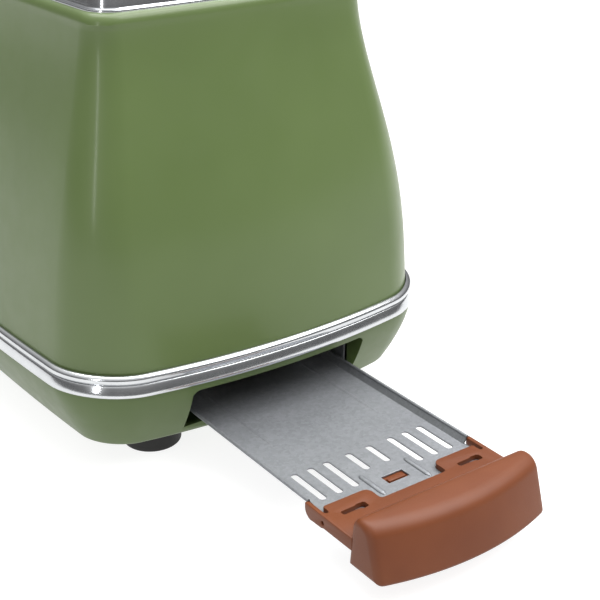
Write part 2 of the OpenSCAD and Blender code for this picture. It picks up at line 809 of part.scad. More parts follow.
module control_board() {
    board_a = 23;
    relay = [14, 7, 14];
    color("#3f6b3a")
        block([-14, board_y - board_t, knob_z - board_a], [button_x + 16, board_y, knob_z + board_a]);
    color(black) translate([18, board_y - board_t - relay.y, knob_z - 20]) cube(relay);
}

module power_switch() {
    color(black) translate([-52, chassis_y + sheet_t, 40]) cube([12, 12, 18]);
}

module terminal_block() {
    size = [12, 13.5, 11];
    low = [cord_x + 2, chassis_y + 10.5, floor_z];
    color("#d8d5ca") difference() {
        translate(low) cube(size);
        for (i = [1, 2])
            translate(low + [-1, i * size.y / 3, size.z / 2]) rotate([0, 90, 0])
                cylinder(r = 1.5, h = size.x + 2);
    }
}

module cord_gland() {
    low_y = body_l / 2 - 16;
    sleeve_l = 10;
    nose = [4.6, 5];                  // radius and length of the tapered nose
    cord_r = 3.3;
    color(black) difference() {
        union() {
            rod_y(cord_x, low_y, cord_z, gland_r, sleeve_l);
            translate([cord_x, low_y + sleeve_l, cord_z]) rotate([-90, 0, 0])
                cylinder(r1 = gland_r, r2 = nose.x, h = nose.y);
        }
        rod_y(cord_x, low_y - 1, cord_z, cord_r, sleeve_l + nose.y + 2);
    }
}

// ---- Crumb tray ----

rail_t = 1;
rail_ledge = 7;
module tray_rail(side) {
    low = pocket_y + base_t + 1;
    high = chassis_y + 8;
    ledge_y = pocket_y + 28;          // behind the front edge of the base plate
    color(steel) mirror([side < 0 ? 1 : 0, 0, 0]) {
        difference() {
            block([rail_x, low, plate_z], [rail_x + rail_t, high, tray_z + 10.8]);
            block([rail_x - 1, low - 1, 0], [rail_x + 2 * rail_t, -plate_size.y / 2, sill_z]);
            block([rail_x - 1, plate_size.y / 2, 0], [rail_x + 2 * rail_t, high + 1, sill_z]);
        }
        block([rail_x - rail_ledge, ledge_y, sill_z + 1], [rail_x + rail_t / 2, high, sill_z + 1 + rail_t]);
    }
}

// Vents: three in line with each tab and two between the ribs
vent_w = 3;
vent_l = 20.7;
short_vent_l = 13.7;
vent_front = grip_y + 25;
vent_inner_x = rib_x + 4.8;
vent_outer_x = tray_w / 2 - 8.55;
module vent(x, length) {
    translate([x, vent_front + vent_l - length / 2, 0]) linear_extrude(band_z)
        round_rect(vent_w, length, vent_w / 2 - 0.01);
}

module crumb_tray() {
    a = tray_w / 2;
    roll_r = 0.7;
    side_front = grip_y + ear_reach - 0.5;
    side_h = tray_h - roll_r;
    color(steel) difference() {
        union() {
            block([-tray_floor_a, tray_front, tray_z], [tray_floor_a, tray_back, tray_z + tray_t]);
            for (side = [-1, 1]) {
                translate([0, side_front, tray_z]) mirror([side < 0 ? 1 : 0, 0, 0])
                    rotate([90, 0, 0]) translate([0, 0, side_front - tray_back])
                        linear_extrude(tray_back - side_front)
                            polygon([[tray_floor_a - tray_t, 0], [tray_floor_a, 0],
                                [a - roll_r + tray_t / 2, side_h], [a - roll_r - tray_t / 2, side_h]]);
                rod_y(side * (a - roll_r), side_front, tray_z + side_h, roll_r, tray_back - side_front);
            }
            block([-a + roll_r, tray_back - tray_t, tray_z], [a - roll_r, tray_back, tray_z + side_h]);
            for (x = [-rib_x, rib_x])
                block([x - 1.2, grip_y + 14.5, tray_z + tray_t], [x + 1.2, grip_y + 30, tray_z + tray_t + rib_h]);
        }
        for (i = [0:2], side = [-1, 1]) vent(side * mix(vent_inner_x, vent_outer_x, i / 2), vent_l);
        for (x = [-5, 5]) vent(x, short_vent_l);
        block([-catch_a, grip_y + catch_reach[0], 0], [catch_a, grip_y + catch_reach[1], band_z]);
    }
}

module grip_section() {
    foot = grip_radius;
    top = foot - grip_flare;
    round_r = 5;
    polygon(concat(
        [[60, grip_z], [foot, grip_z], [top + 0.6, grip_top - round_r]],
        [for (th = [0:15:90]) [top - round_r * (1 - cos(th)), grip_top - round_r + round_r * sin(th)]],
        [[60, grip_top]]));
}

module tray_handle() {
    seat = tray_z + tray_t;
    root_y = grip_y - 1;              // the plate and the tongue run this far into the grip
    window_x = [tab_in + 6.5, tab_out - 3.1];
    window_reach = [10, 13];
    ear_drop = 3.3;                   // how far an ear hangs below the tray's floor
    tongue_a = 7;
    tongue_t = 2.3;
    color(tan) {
        intersection() {
            translate([0, grip_y - grip_d + grip_radius, 0]) rotate([0, 0, -130])
                rotate_extrude(angle = 80) grip_section();
            block([-grip_a, grip_y - 2 * grip_d, 0], [grip_a, grip_y, 2 * grip_top]);
        }
        difference() {
            union() {
                block([-grip_a, root_y, seat], [grip_a, grip_y + centre_reach, handle_plate_z]);
                for (side = [-1, 1]) mirror([side < 0 ? 1 : 0, 0, 0]) {
                    block([tab_in, root_y, seat], [grip_a, grip_y + shoulder_reach, handle_plate_z]);
                    block([tab_in, root_y, seat], [tab_out, grip_y + tab_reach, handle_plate_z]);
                    block([grip_a - ear_t, root_y, seat - ear_drop], [grip_a, grip_y + ear_reach, handle_plate_z]);
                }
            }
            for (side = [-1, 1]) mirror([side < 0 ? 1 : 0, 0, 0])
                block([window_x[0], grip_y + window_reach[0], 0], [window_x[1], grip_y + window_reach[1], grip_top]);
        }
        // the tongue under the tray and the catch that snaps up through it
        block([-tongue_a, root_y, tray_z - fix_gap - tongue_t],
            [tongue_a, grip_y + catch_reach[1] + 0.5, tray_z - fix_gap]);
        block([-catch_a + 1, grip_y + catch_reach[0] + 1, tray_z - 1],
            [catch_a - 1, grip_y + catch_reach[1] - 2, tray_z + tray_t]);
    }
}

// ---- Fasteners ----

module screw(x, y, z, length) {
    translate([x, y, z]) {
        cylinder(r = screw_head_r, h = screw_head_h);
        translate([0, 0, -length]) cylinder(r = screw_r, h = length + 1);
    }
}

module base_screws() {
    color(steel) for (x = [-1, 1], y = [-1, 1])
        screw(x * screw_x, y * screw_y, plate_z, plate_z - foot_h - 0.2);
}

module chassis_screws() {
    color(steel) for (x = [-1, 1], y = [-1, 1])
        screw(x * chassis_screw.x, y * chassis_screw.y, liner_z, 5);
}

body_shell();
chrome_band();
base();
base_plate();
top_deck();
foot(-1, -1);  // foot_tray_end_left
foot(1, -1);  // foot_tray_end_right
foot(-1, 1);  // foot_lever_end_left
foot(1, 1);  // foot_lever_end_right
slot_liner(-1);  // slot_liner_left
slot_liner(1);  // slot_liner_right
chassis_top_plate();
chassis_plate_lever_end();
chassis_plate_tray_end();
reflector(-1);  // reflector_left
reflector(1);  // reflector_right
heater_card(-outer_card_x);  // heater_card_left
heater_card(0);  // heater_card_centre
heater_card(outer_card_x);  // heater_card_right
heating_wire(-outer_card_x);  // heating_wire_left
heating_wire(0);  // heating_wire_centre
heating_wire(outer_card_x);  // heating_wire_right
guard(-slot_x - guard_x);  // guard_left_outer
guard(-slot_x + guard_x);  // guard_left_inner
guard(slot_x - guard_x);  // guard_right_inner
guard(slot_x + guard_x);  // guard_right_outer
bread_rack(-1);  // bread_rack_left
bread_rack(1);  // bread_rack_right
carriage_bracket();
latch_plate();
electromagnet();
guide_rod(-1);  // guide_rod_left
guide_rod(1);  // guide_rod_right
lift_spring(-1);  // lift_spring_left
lift_spring(1);  // lift_spring_right
lever_arm();
lever_knob();
lever_slot_trim();
browning_knob();
browning_shaft();
browning_control();
knob_ring();
button(button_z[0]);  // button_reheat
button(button_z[1]);  // button_defrost
button(button_z[2]);  // button_cancel
button_rings();
button_switches();
control_board();
power_switch();
terminal_block();
cord_gland();
tray_rail(-1);  // tray_rail_left
tray_rail(1);  // tray_rail_right
crumb_tray();
tray_handle();
base_screws();
chassis_screws();
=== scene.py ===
import math

import bmesh
import bpy
import numpy as np
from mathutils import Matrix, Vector


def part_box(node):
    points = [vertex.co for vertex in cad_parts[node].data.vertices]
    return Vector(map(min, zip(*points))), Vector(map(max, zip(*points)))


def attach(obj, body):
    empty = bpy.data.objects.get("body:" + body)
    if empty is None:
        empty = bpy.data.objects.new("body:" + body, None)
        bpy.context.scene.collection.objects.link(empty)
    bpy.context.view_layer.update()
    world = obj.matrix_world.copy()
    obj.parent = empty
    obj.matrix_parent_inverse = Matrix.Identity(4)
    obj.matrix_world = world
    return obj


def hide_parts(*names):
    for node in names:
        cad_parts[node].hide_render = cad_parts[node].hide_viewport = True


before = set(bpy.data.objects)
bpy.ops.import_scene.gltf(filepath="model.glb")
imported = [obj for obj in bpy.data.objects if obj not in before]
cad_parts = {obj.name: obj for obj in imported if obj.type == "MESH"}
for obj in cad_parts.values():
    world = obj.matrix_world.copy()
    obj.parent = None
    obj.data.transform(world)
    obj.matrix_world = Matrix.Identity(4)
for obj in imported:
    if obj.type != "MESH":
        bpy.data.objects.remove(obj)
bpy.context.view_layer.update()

MM = 0.001
QUARTER_TURN = 1.571        # in radians

# ---------------------------------------------------------------------------
# Sizes, in millimetres. What the frame can tell is read from it.
# ---------------------------------------------------------------------------


def box_mm(node):
    low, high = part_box(node)
    return np.array(low) / MM, np.array(high) / MM


shell_low, shell_high = box_mm("body_shell")
band_low, band_high = box_mm("chrome_band")
deck_low, deck_high = box_mm("top_deck")
foot_z = box_mm("base")[0][2]

band_a, band_b = band_high[0], band_high[1]
band_z, shell_z = band_low[2], band_high[2]
shell_a, shell_b = shell_high[0], shell_high[1]
rim_z = shell_high[2]
deck_z = deck_high[2]
land_a, land_b = deck_high[0] + 0.2, deck_high[1] + 0.2

rim_r = 4.5                 # rolled edge of the shell
roll_in = 2.8               # how far the rolled edge draws in
rim_land = 1.0              # flat land under the deck
wall_top_z = rim_z - rim_r
top_a, top_b = land_a + roll_in, land_b + roll_in
corner_r, rim_corner_r = 27.9, 11.2
end_bow, rim_end_bow = 11.66, 2.4
side_bow, rim_side_bow = 7.24, 3.0
shell_t, base_t, deck_t = 1.2, 2.2, 0.9
lean_straight, lean_power = 0.49, 1.47
base_taper = 13.25


def mix(a, b, t):
    """The value at t of the way from a to b."""
    return a + (b - a) * t


def lean(t):
    """How far the shell has leant in at t of its height: an S that flares upright at the rim."""
    s = t ** lean_power
    return lean_straight * t + (1 - lean_straight) * s * s * (3 - 2 * s)


def wall_y(x, z):
    """The outside of the lever end's wall, at x across and z up."""
    t = max(0.0, (z - shell_z) / (wall_top_z - shell_z))
    u = max(0.0, (z - shell_z) / (rim_z - shell_z))
    half = mix(shell_a, top_a, lean(t))
    return mix(shell_b, top_b, lean(t)) - mix(end_bow, rim_end_bow, u) * (x / half) ** 2


# ---------------------------------------------------------------------------
# Meshes
# ---------------------------------------------------------------------------


def piece_from(name, points, faces, smooth_below=35):
    """A mesh object from points in millimetres, smooth where its faces meet at less than an angle."""
    mesh = bpy.data.meshes.new(name)
    mesh.from_pydata([tuple(p) for p in np.asarray(points) * MM], [], faces)
    mesh.validate()
    piece = bpy.data.objects.new(name, mesh)
    bpy.context.scene.collection.objects.link(piece)
    soften(piece, smooth_below)
    return piece


def soften(piece, smooth_below=35):
    """Shades a piece smooth, apart from edges sharper than an angle in degrees."""
    piece.data.shade_smooth()
    piece.data.set_sharp_from_angle(angle=math.radians(smooth_below))


def bake(piece, smooth_below=35):
    """Applies a piece's modifiers to its mesh."""
    graph = bpy.context.evaluated_depsgraph_get()
    mesh = bpy.data.meshes.new_from_object(piece.evaluated_get(graph))
    piece.modifiers.clear()
    piece.data = mesh
    soften(piece, smooth_below)
    return piece


def combine(piece, tools, operation="DIFFERENCE", smooth_below=35):
    """Cuts or joins solid pieces and throws the tools away."""
    for tool in tools:
        step = piece.modifiers.new(operation.lower(), "BOOLEAN")
        step.operation = operation
        step.object = tool
        step.solver = "EXACT"
    bake(piece, smooth_below)
    for tool in tools:
        bpy.data.objects.remove(tool)
    return piece


def join(name, pieces):
    """Puts several pieces' meshes into one object, with their materials' slots."""
    points, faces, owner, slots = [], [], [], []
    for piece in pieces:
        start = len(points)
        points += [tuple(v.co / MM) for v in piece.data.vertices]
        faces += [[start + i for i in f.vertices] for f in piece.data.polygons]
        found = list(piece.data.materials) or [None]
        base = len(slots)
        slots += found
        owner += [base + f.material_index for f in piece.data.polygons]
    made = piece_from(name, points, faces)
    for material in slots:
        made.data.materials.append(material)
    made.data.polygons.foreach_set("material_index", owner)
    for piece in pieces:
        bpy.data.objects.remove(piece)
    return made


def outline(a, b, r, arc, flat):
    """Points round a rectangle of half sizes a and b with round corners, from the +X side."""
    points = []
    centres = [(a - r, b - r), (-(a - r), b - r), (-(a - r), -(b - r)), (a - r, -(b - r))]
    for k, (cx, cy) in enumerate(centres):
        turns = [math.pi / 2 * (k + j / arc) for j in range(arc + 1)]
        arc_points = [(cx + r * math.cos(t), cy + r * math.sin(t)) for t in turns]
        nx, ny = centres[(k + 1) % 4]
        start = arc_points[-1]
        end = (nx + r * math.cos(turns[-1]), ny + r * math.sin(turns[-1]))
        points += arc_points
        points += [(mix(start[0], end[0], j / flat), mix(start[1], end[1], j / flat))
                   for j in range(1, flat)]
    return np.array(points)


def ring(a, b, r, end, side, z, arc=14, flat=28):
    """One level of a loft: a round-cornered rectangle whose ends and sides bow out."""
    p = outline(a, b, r, arc, flat)
    x, y = p[:, 0], p[:, 1]
    bowed_x = x - side * np.sign(x) * (y / b) ** 2 * np.abs(x) / a
    bowed_y = y - end * np.sign(y) * (x / a) ** 2 * np.abs(y) / b
    return np.stack([bowed_x, bowed_y, np.full(len(x), z)], axis=1)


def loft(name, rings, closed=False, smooth_below=35):
    """A skin through rings of equally many points. Closed joins the last ring to the first."""
    n, count = len(rings[0]), len(rings)
    faces = []
    for k in range(count if closed else count - 1):
        low, high = k * n, (k + 1) % count * n
        faces += [(low + i, low + (i + 1) % n, high + (i + 1) % n, high + i) for i in range(n)]
    if not closed:
        faces.append(tuple(range(n - 1, -1, -1)))
        faces.append(tuple((count - 1) * n + i for i in range(n)))
    return piece_from(name, np.concatenate(rings), faces, smooth_below)


def circle(u, v, radius, sides):
    """A round outline of (u, v) points."""
    turns = np.linspace(0, 2 * math.pi, sides, endpoint=False)
    return np.column_stack([u + radius * np.cos(turns), v + radius * np.sin(turns)])


def prism(name, shape, low, high, axis="z"):
    """A straight solid on a closed outline of (u, v) points, from low to high along an axis."""
    columns = {"z": [0, 1, 2], "y": [0, 2, 1], "x": [2, 0, 1]}[axis]
    rings = [np.column_stack([shape, np.full(len(shape), w)])[:, columns] for w in (low, high)]
    if axis == "y":
        rings.reverse()
    return loft(name, rings)


def block(name, low, high):
    shape = [(low[0], low[1]), (high[0], low[1]), (high[0], high[1]), (low[0], high[1])]
    return prism(name, np.array(shape, float), low[2], high[2])


def bevelled(piece, width, segments=3, smooth_below=50):
    step = piece.modifiers.new("bevel", "BEVEL")
    step.width = width * MM
    step.segments = segments
    step.limit_method = "ANGLE"
    step.angle_limit = math.radians(40)
    step.harden_normals = False
    return bake(piece, smooth_below)


def turned(name, profile, centre, axis="y", steps=96, smooth_below=35):
    """A solid of revolution. The profile is (radius, height) pairs that start and end on the axis,
    with the height measured along the axis from the centre."""
    points, faces = [], []
    for radius, height in profile:
        for i in range(steps):
            t = 2 * math.pi * i / steps
            u, v = radius * math.cos(t), radius * math.sin(t)
            points.append({"z": (u, v, height), "y": (v, height, u), "x": (height, u, v)}[axis])
    for k in range(len(profile) - 1):
        low, high = k * steps, (k + 1) * steps
        faces += [(low + i, low + (i + 1) % steps, high + (i + 1) % steps, high + i) for i in range(steps)]
    return clean(piece_from(name, np.array(points) + np.array(centre), faces, smooth_below), smooth_below)


def clean(piece, smooth_below=35):
    """Merges doubled points, such as those at a pole, and turns the faces outwards."""
    work = bmesh.new()
    work.from_mesh(piece.data)
    bmesh.ops.remove_doubles(work, verts=work.verts, dist=0.002 * MM)
    bmesh.ops.dissolve_degenerate(work, edges=work.edges, dist=0.001 * MM)
    bmesh.ops.recalc_face_normals(work, faces=work.faces)
    work.to_mesh(piece.data)
    work.free()
    soften(piece, smooth_below)
    return piece


def round_corner(centre, radius, start, end, steps=6):
    """Profile points along an arc, with angles in degrees."""
    turns = [math.radians(mix(start, end, i / steps)) for i in range(steps + 1)]
    return [(centre[0] + radius * math.cos(t), centre[1] + radius * math.sin(t)) for t in turns]


# ---------------------------------------------------------------------------
# Materials. Each function makes one finish.
# ---------------------------------------------------------------------------


def linear(colour):
    """An sRGB hex colour as linear RGBA."""
    parts = [int(colour[i:i + 2], 16) / 255 for i in (1, 3, 5)]
    return [p / 12.92 if p <= 0.04045 else ((p + 0.055) / 1.055) ** 2.4 for p in parts] + [1.0]


def add(tree, kind, inputs=None, **settings):
    """Adds a node with its settings. An input is a value, or a socket to link from."""
    made = tree.nodes.new(kind)
    for name, value in settings.items():
        setattr(made, name, value)
    for socket, value in (inputs or {}).items():
        if isinstance(value, bpy.types.NodeSocket):
            tree.links.new(value, made.inputs[socket])
        else:
            made.inputs[socket].default_value = value
    return made


def finish_named(name, **values):
    """A material with one Principled shader set to plain values, and its object coordinates."""
    material = bpy.data.materials.new(name)
    material.use_nodes = True
    tree = material.node_tree
    tree.nodes.clear()
    shader = add(tree, "ShaderNodeBsdfPrincipled")
    add(tree, "ShaderNodeOutputMaterial", {"Surface": shader.outputs["BSDF"]})
    for socket, value in values.items():
        shader.inputs[socket.replace("_", " ")].default_value = value
    where = add(tree, "ShaderNodeTexCoord").outputs["Object"]
    return material, tree, shader, where


def noise(tree, where, size, detail=3.0, roughness=0.5, stretch=(1, 1, 1)):
    """Noise whose features are about size millimetres across."""
    scaled = add(tree, "ShaderNodeMapping", {"Vector": where, "Scale": stretch})
    return add(tree, "ShaderNodeTexNoise", {
        "Vector": scaled.outputs["Vector"], "Scale": 1 / (size * MM),
        "Detail": detail, "Roughness": roughness}).outputs["Fac"]


def spread(tree, value, low, high):
    """Turns noise around a half into a range from low to high."""
    return add(tree, "ShaderNodeMapRange", {
        "Value": value, "From Min": 0.3, "From Max": 0.7, "To Min": low, "To Max": high,
    }).outputs["Result"]


def colours(tree, value, first, second):
    """Mixes two colours by a value from 0 to 1."""
    mixed = tree.nodes.new("ShaderNodeMix")
    mixed.data_type = "RGBA"
    tree.links.new(value, mixed.inputs["Factor"])
    for socket, colour in ((mixed.inputs[6], first), (mixed.inputs[7], second)):
        if isinstance(colour, bpy.types.NodeSocket):
            tree.links.new(colour, socket)
        else:
            socket.default_value = colour
    return mixed.outputs[2]


def tint(tree, shader, value, dark, light):
    """Colours a finish between two hex colours, by noise around a half."""
    tree.links.new(colours(tree, spread(tree, value, 0, 1), linear(dark), linear(light)),
                   shader.inputs["Base Color"])


def dull(tree, shader, value):
    """Sets a finish's roughness from a value."""
    tree.links.new(value, shader.inputs["Roughness"])


def bump(tree, shader, height, depth, strength=1.0):
    """Relief that is depth millimetres deep."""
    made = add(tree, "ShaderNodeBump", {
        "Height": height, "Distance": depth * MM, "Strength": strength})
    tree.links.new(made.outputs["Normal"], shader.inputs["Normal"])
    return made


def stoved_enamel():
    """Gloss enamel sprayed and stoved on pressed steel: deep olive under a hard clear gloss,
    with a faint orange peel."""
    material, tree, shader, where = finish_named(
        "stoved_enamel_olive", Roughness=0.42, Coat_Weight=0.25, Coat_Roughness=0.16, IOR=1.45,
        Specular_IOR_Level=0.4)
    tone = noise(tree, where, 60, detail=2)
    tint(tree, shader, tone, "#4e5f33", "#536438")
    peel = noise(tree, where, 2.6, detail=2)
    dull(tree, shader, spread(tree, noise(tree, where, 9), 0.38, 0.45))
    bump(tree, shader, peel, 0.012, 0.6)
    return material


def moulded_olive():
    """The base: moulded in the same olive, a little flatter than the enamel."""
    material, tree, shader, where = finish_named(
        "moulded_gloss_olive", Roughness=0.46, Coat_Weight=0.1, Coat_Roughness=0.2, IOR=1.45,
        Specular_IOR_Level=0.35)
    tone = noise(tree, where, 45, detail=2)
    tint(tree, shader, tone, "#4b5c31", "#506136")
    dull(tree, shader, spread(tree, noise(tree, where, 7), 0.37, 0.44))
    bump(tree, shader, noise(tree, where, 0.8, detail=2), 0.008, 0.5)
    return material


def chrome_plate():
    """Bright chrome plate over pressed steel: near-mirror, with faint wiping marks."""
    material, tree, shader, where = finish_named("bright_chrome_plate", Metallic=1.0, Roughness=0.15)
    marks = noise(tree, where, 14, detail=5, roughness=0.65)
    tint(tree, shader, marks, "#bdbfc2", "#c8cacc")
    dull(tree, shader, spread(tree, marks, 0.13, 0.18))
    bump(tree, shader, noise(tree, where, 5, detail=1), 0.006, 0.4)
    return material


def satin_chrome():
    """Satin chrome on the small bezels: turned rings show in the gloss."""
    material, tree, shader, where = finish_named("satin_chrome", Metallic=1.0, Roughness=0.24)
    marks = noise(tree, where, 1.2, detail=4)
    tint(tree, shader, marks, "#c3c6c9", "#d3d5d8")
    dull(tree, shader, spread(tree, marks, 0.2, 0.3))
    bump(tree, shader, marks, 0.004, 0.5)
    return material


def galvanised_sheet(name, dark, light, grain=2.2):
    """Zinc-coated sheet: close fine spangles of even grey under a faint cloudy tone."""
    material, tree, shader, where = finish_named(name, Metallic=0.6, Roughness=0.5)
    spangle = add(tree, "ShaderNodeTexVoronoi", {
        "Vector": where, "Scale": 1 / (grain * MM), "Randomness": 1.0})
    grey = add(tree, "ShaderNodeSeparateColor", {"Color": spangle.outputs["Color"]}).outputs["Red"]
    fine = noise(tree, where, grain / 2, detail=5, roughness=0.75)
    cloud = noise(tree, where, 30, detail=2)
    both = add(tree, "ShaderNodeMath", {0: grey, 1: 0.3, 2: fine}, operation="MULTIPLY_ADD").outputs[0]
    most = add(tree, "ShaderNodeMath", {0: cloud, 1: 0.5, 2: both}, operation="MULTIPLY_ADD").outputs[0]
    level = add(tree, "ShaderNodeMapRange", {
        "Value": most, "From Min": 0.55, "From Max": 1.3, "To Min": 0.0, "To Max": 1.0})
    tree.links.new(colours(tree, level.outputs["Result"], linear(dark), linear(light)),
                   shader.inputs["Base Color"])
    dull(tree, shader, spread(tree, fine, 0.44, 0.56))
    bump(tree, shader, fine, 0.01, 0.3)
    return material


def drawn_steel(name, shades, roughness):
    """Bright drawn wire and strip: fine marks along its length."""
    material, tree, shader, where = finish_named(name, Metallic=1.0, Roughness=roughness)
    marks = noise(tree, where, 0.9, detail=4, stretch=(1, 0.12, 1))
    tint(tree, shader, marks, shades[0], shades[1])
    dull(tree, shader, spread(tree, marks, roughness - 0.06, roughness + 0.08))
    bump(tree, shader, marks, 0.01, 0.4)
    return material


def moulded_tan():
    """Satin thermoset moulding in leather tan, with a fine spark-eroded grain."""
    material, tree, shader, where = finish_named(
        "satin_moulding_tan", Roughness=0.46, IOR=1.45, Specular_IOR_Level=0.35)
    tone = noise(tree, where, 26, detail=3)
    tint(tree, shader, tone, "#5d2e14", "#663519")
    grain = noise(tree, where, 0.55, detail=3, roughness=0.6)
    dull(tree, shader, spread(tree, grain, 0.42, 0.52))
    bump(tree, shader, grain, 0.03, 0.35)
    return material


def plain_moulding(name, dark, light, roughness, grain=0.5, depth=0.03):
    """Moulded plastic or rubber with a fine even grain."""
    material, tree, shader, where = finish_named(name, Roughness=roughness, IOR=1.48)
    fine = noise(tree, where, grain, detail=3)
    tint(tree, shader, fine, dark, light)
    dull(tree, shader, spread(tree, fine, roughness - 0.06, roughness + 0.08))
    bump(tree, shader, fine, depth, 0.5)
    return material


def mica_sheet():
    """Pressed mica: pale flakes laid over one another, with a pearly sheen."""
    material, tree, shader, where = finish_named(
        "pressed_mica", Roughness=0.42, IOR=1.58, Sheen_Weight=0.15)
    flakes = add(tree, "ShaderNodeTexVoronoi", {"Vector": where, "Scale": 1 / (6 * MM)})
    level = add(tree, "ShaderNodeSeparateColor", {"Color": flakes.outputs["Color"]}).outputs["Red"]
    tree.links.new(colours(tree, level, linear("#b9ab86"), linear("#cdc1a0")),
                   shader.inputs["Base Color"])
    bump(tree, shader, level, 0.05, 0.4)
    return material


def circuit_board():
    """Green solder mask over copper tracks, which show as a lighter network."""
    material, tree, shader, where = finish_named("solder_mask_green", Roughness=0.35, IOR=1.5)
    tracks = add(tree, "ShaderNodeTexBrick", {
        "Vector": where, "Scale": 1 / (14 * MM), "Mortar Size": 0.03,
        "Color1": linear("#1f5a2c"), "Color2": linear("#215f2f"), "Mortar": linear("#3c8a4a")})
    tree.links.new(tracks.outputs["Color"], shader.inputs["Base Color"])
    bump(tree, shader, tracks.outputs["Fac"], 0.03, 0.5)
    return material


enamel = stoved_enamel()
base_olive = moulded_olive()
chrome = chrome_plate()
bezel_chrome = satin_chrome()
zinc = galvanised_sheet("galvanised_sheet", "#707276", "#8a8c90", 1.3)
bright_wire = drawn_steel("bright_drawn_steel", ("#b5b8bb", "#cfd1d3"), 0.22)
dark_steel = drawn_steel("blackened_steel", ("#3c3e41", "#55585b"), 0.38)
ribbon = drawn_steel("oxidised_resistance_ribbon", ("#55504b", "#7a736b"), 0.45)
mirror_sheet = drawn_steel("aluminised_reflector_sheet", ("#b9bcbf", "#cccfd1"), 0.2)
tan = moulded_tan()
rubber = plain_moulding("black_rubber", "#131212", "#1d1c1b", 0.62)
black_plastic = plain_moulding("black_thermoset", "#161616", "#222222", 0.42)
white_plastic = plain_moulding("white_ceramic_moulding", "#cfcabc", "#dcd8cc", 0.5)
mica = mica_sheet()
solder_mask = circuit_board()


def wear(piece, material):
    piece.data.materials.clear()
    piece.data.materials.append(material)
    return piece


def place(piece, body, nodes, material=None):
    """Gives a piece its finish, the body it moves with and the CAD nodes it stands for."""
    if material:
        wear(piece, material)
    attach(piece, body)
    if nodes:
        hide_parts(*nodes)
    return piece


# ---------------------------------------------------------------------------
# Outer skins
# ---------------------------------------------------------------------------


def side_level(t, out, z):
    u = min(1.0, max(0.0, (z - shell_z) / (rim_z - shell_z)))
    s = lean(t)
    return ring(mix(shell_a, top_a, s) + out, mix(shell_b, top_b, s) + out,
                mix(corner_r - 2, rim_corner_r, u) + out,
                mix(end_bow, rim_end_bow, u), mix(side_bow, rim_side_bow, u), z)


def rolled_level(t, out, to_a, height):
    draw = (1 - math.cos(math.pi / 2 * t)) * (top_a + out - to_a)
    return ring(top_a + out - draw, top_b + out - draw, rim_corner_r + out * (1 - t),
                rim_end_bow, rim_side_bow, wall_top_z + height * math.sin(math.pi / 2 * t))


def rod_tool(name, centre, radius, length, sides=64):
    """A rod along Y that starts at a point."""
    shape = circle(centre[0], centre[2], radius, sides)
    return prism(name, shape, centre[1], centre[1] + length, axis="y")


knob_low, knob_high = box_mm("browning_knob")
knob_z = (knob_low[2] + knob_high[2]) / 2
knob_r = (knob_high[2] - knob_low[2]) / 2
ring_low, ring_high = box_mm("knob_ring")
ring_r = (ring_high[2] - ring_low[2]) / 2
trim_low, trim_high = box_mm("lever_slot_trim")
trim_edge = 3.0
slot_w = trim_high[0] - trim_low[0] - 2 * trim_edge
slot_low, slot_high = trim_low[2] + trim_edge, trim_high[2] - trim_edge
buttons = {}
for label in ("reheat", "defrost", "cancel"):
    low, high = box_mm("button_" + label)
    buttons[label] = ((low[0] + high[0]) / 2, (low[2] + high[2]) / 2, (high[2] - low[2]) / 2, high[1])
bezel_r = (box_mm("button_rings")[1][0] - box_mm("button_rings")[0][0]) / 2


def body_shell():
    """The enamelled shell: an outer and an inner skin, joined round its rolled rim and its foot."""
    steps, rolls = 64, 10
    outer = [side_level(0, 0, band_z)]
    outer += [side_level(i / steps, 0, mix(shell_z, wall_top_z, i / steps)) for i in range(steps + 1)]
    outer += [rolled_level(i / rolls, 0, land_a, rim_r) for i in range(1, rolls + 1)]
    hole_a, hole_b = land_a - rim_land, land_b - rim_land
    outer.append(ring(hole_a, hole_b, rim_corner_r - 1, rim_end_bow, rim_side_bow, rim_z))
    inner = [ring(hole_a, hole_b, rim_corner_r - 1, rim_end_bow, rim_side_bow, rim_z - shell_t)]
    inner += [rolled_level(i / rolls, -shell_t, hole_a, rim_r - shell_t) for i in range(rolls - 1, 0, -1)]
    inner += [side_level(i / 24, -shell_t, mix(shell_z, wall_top_z, i / 24)) for i in range(24, -1, -1)]
    inner.append(side_level(0, -shell_t, band_z))
    shell = loft("body_shell_enamelled", outer + inner, closed=True)
    tools = [block("slot_tool", (-slot_w / 2, 60, slot_low), (slot_w / 2, 200, slot_high)),
             rod_tool("knob_tool", (0, 100, knob_z), ring_r + 0.1, 80)]
    for x, z, radius, front in buttons.values():
        tools.append(rod_tool("button_tool", (x, 100, z), bezel_r + 0.1, 80))
    combine(shell, tools)
    return place(shell, "root", ["body_shell"], enamel)


def chrome_band():
    """The bright band: a flat facet below, a small step and a round bead above."""
    height = shell_z - band_z
    facet_z = band_z + height * 0.55
    bead_r = (shell_z - facet_z) / 2
    section = [(0.9, 0), (0.5, 0.08), (0.2, 0.3), (0.05, 0.6), (0.0, 0.95)]
    lean_back = 1.25
    section += [(lean_back * (i / 6) ** 1.25, mix(0.95, facet_z - band_z - 0.3, i / 6))
                for i in range(1, 7)]
    section += [(1.4, facet_z - band_z - 0.1), (1.6, facet_z - band_z), (1.7, facet_z - band_z + 0.14)]
    for angle in range(-55, 91, 8):
        t = math.radians(angle)
        section.append((2.6 - bead_r * math.cos(t), facet_z - band_z + bead_r + bead_r * math.sin(t)))
    inner_d = band_a - shell_a - 0.1
    section += [(inner_d, height), (inner_d, 0)]
    rings = [ring(band_a - d, band_b - d, corner_r - d, end_bow, side_bow, min(band_z + z, shell_z))
             for d, z in section]
    return place(loft("chrome_band_rolled", rings, closed=True), "root", ["chrome_band"], chrome)


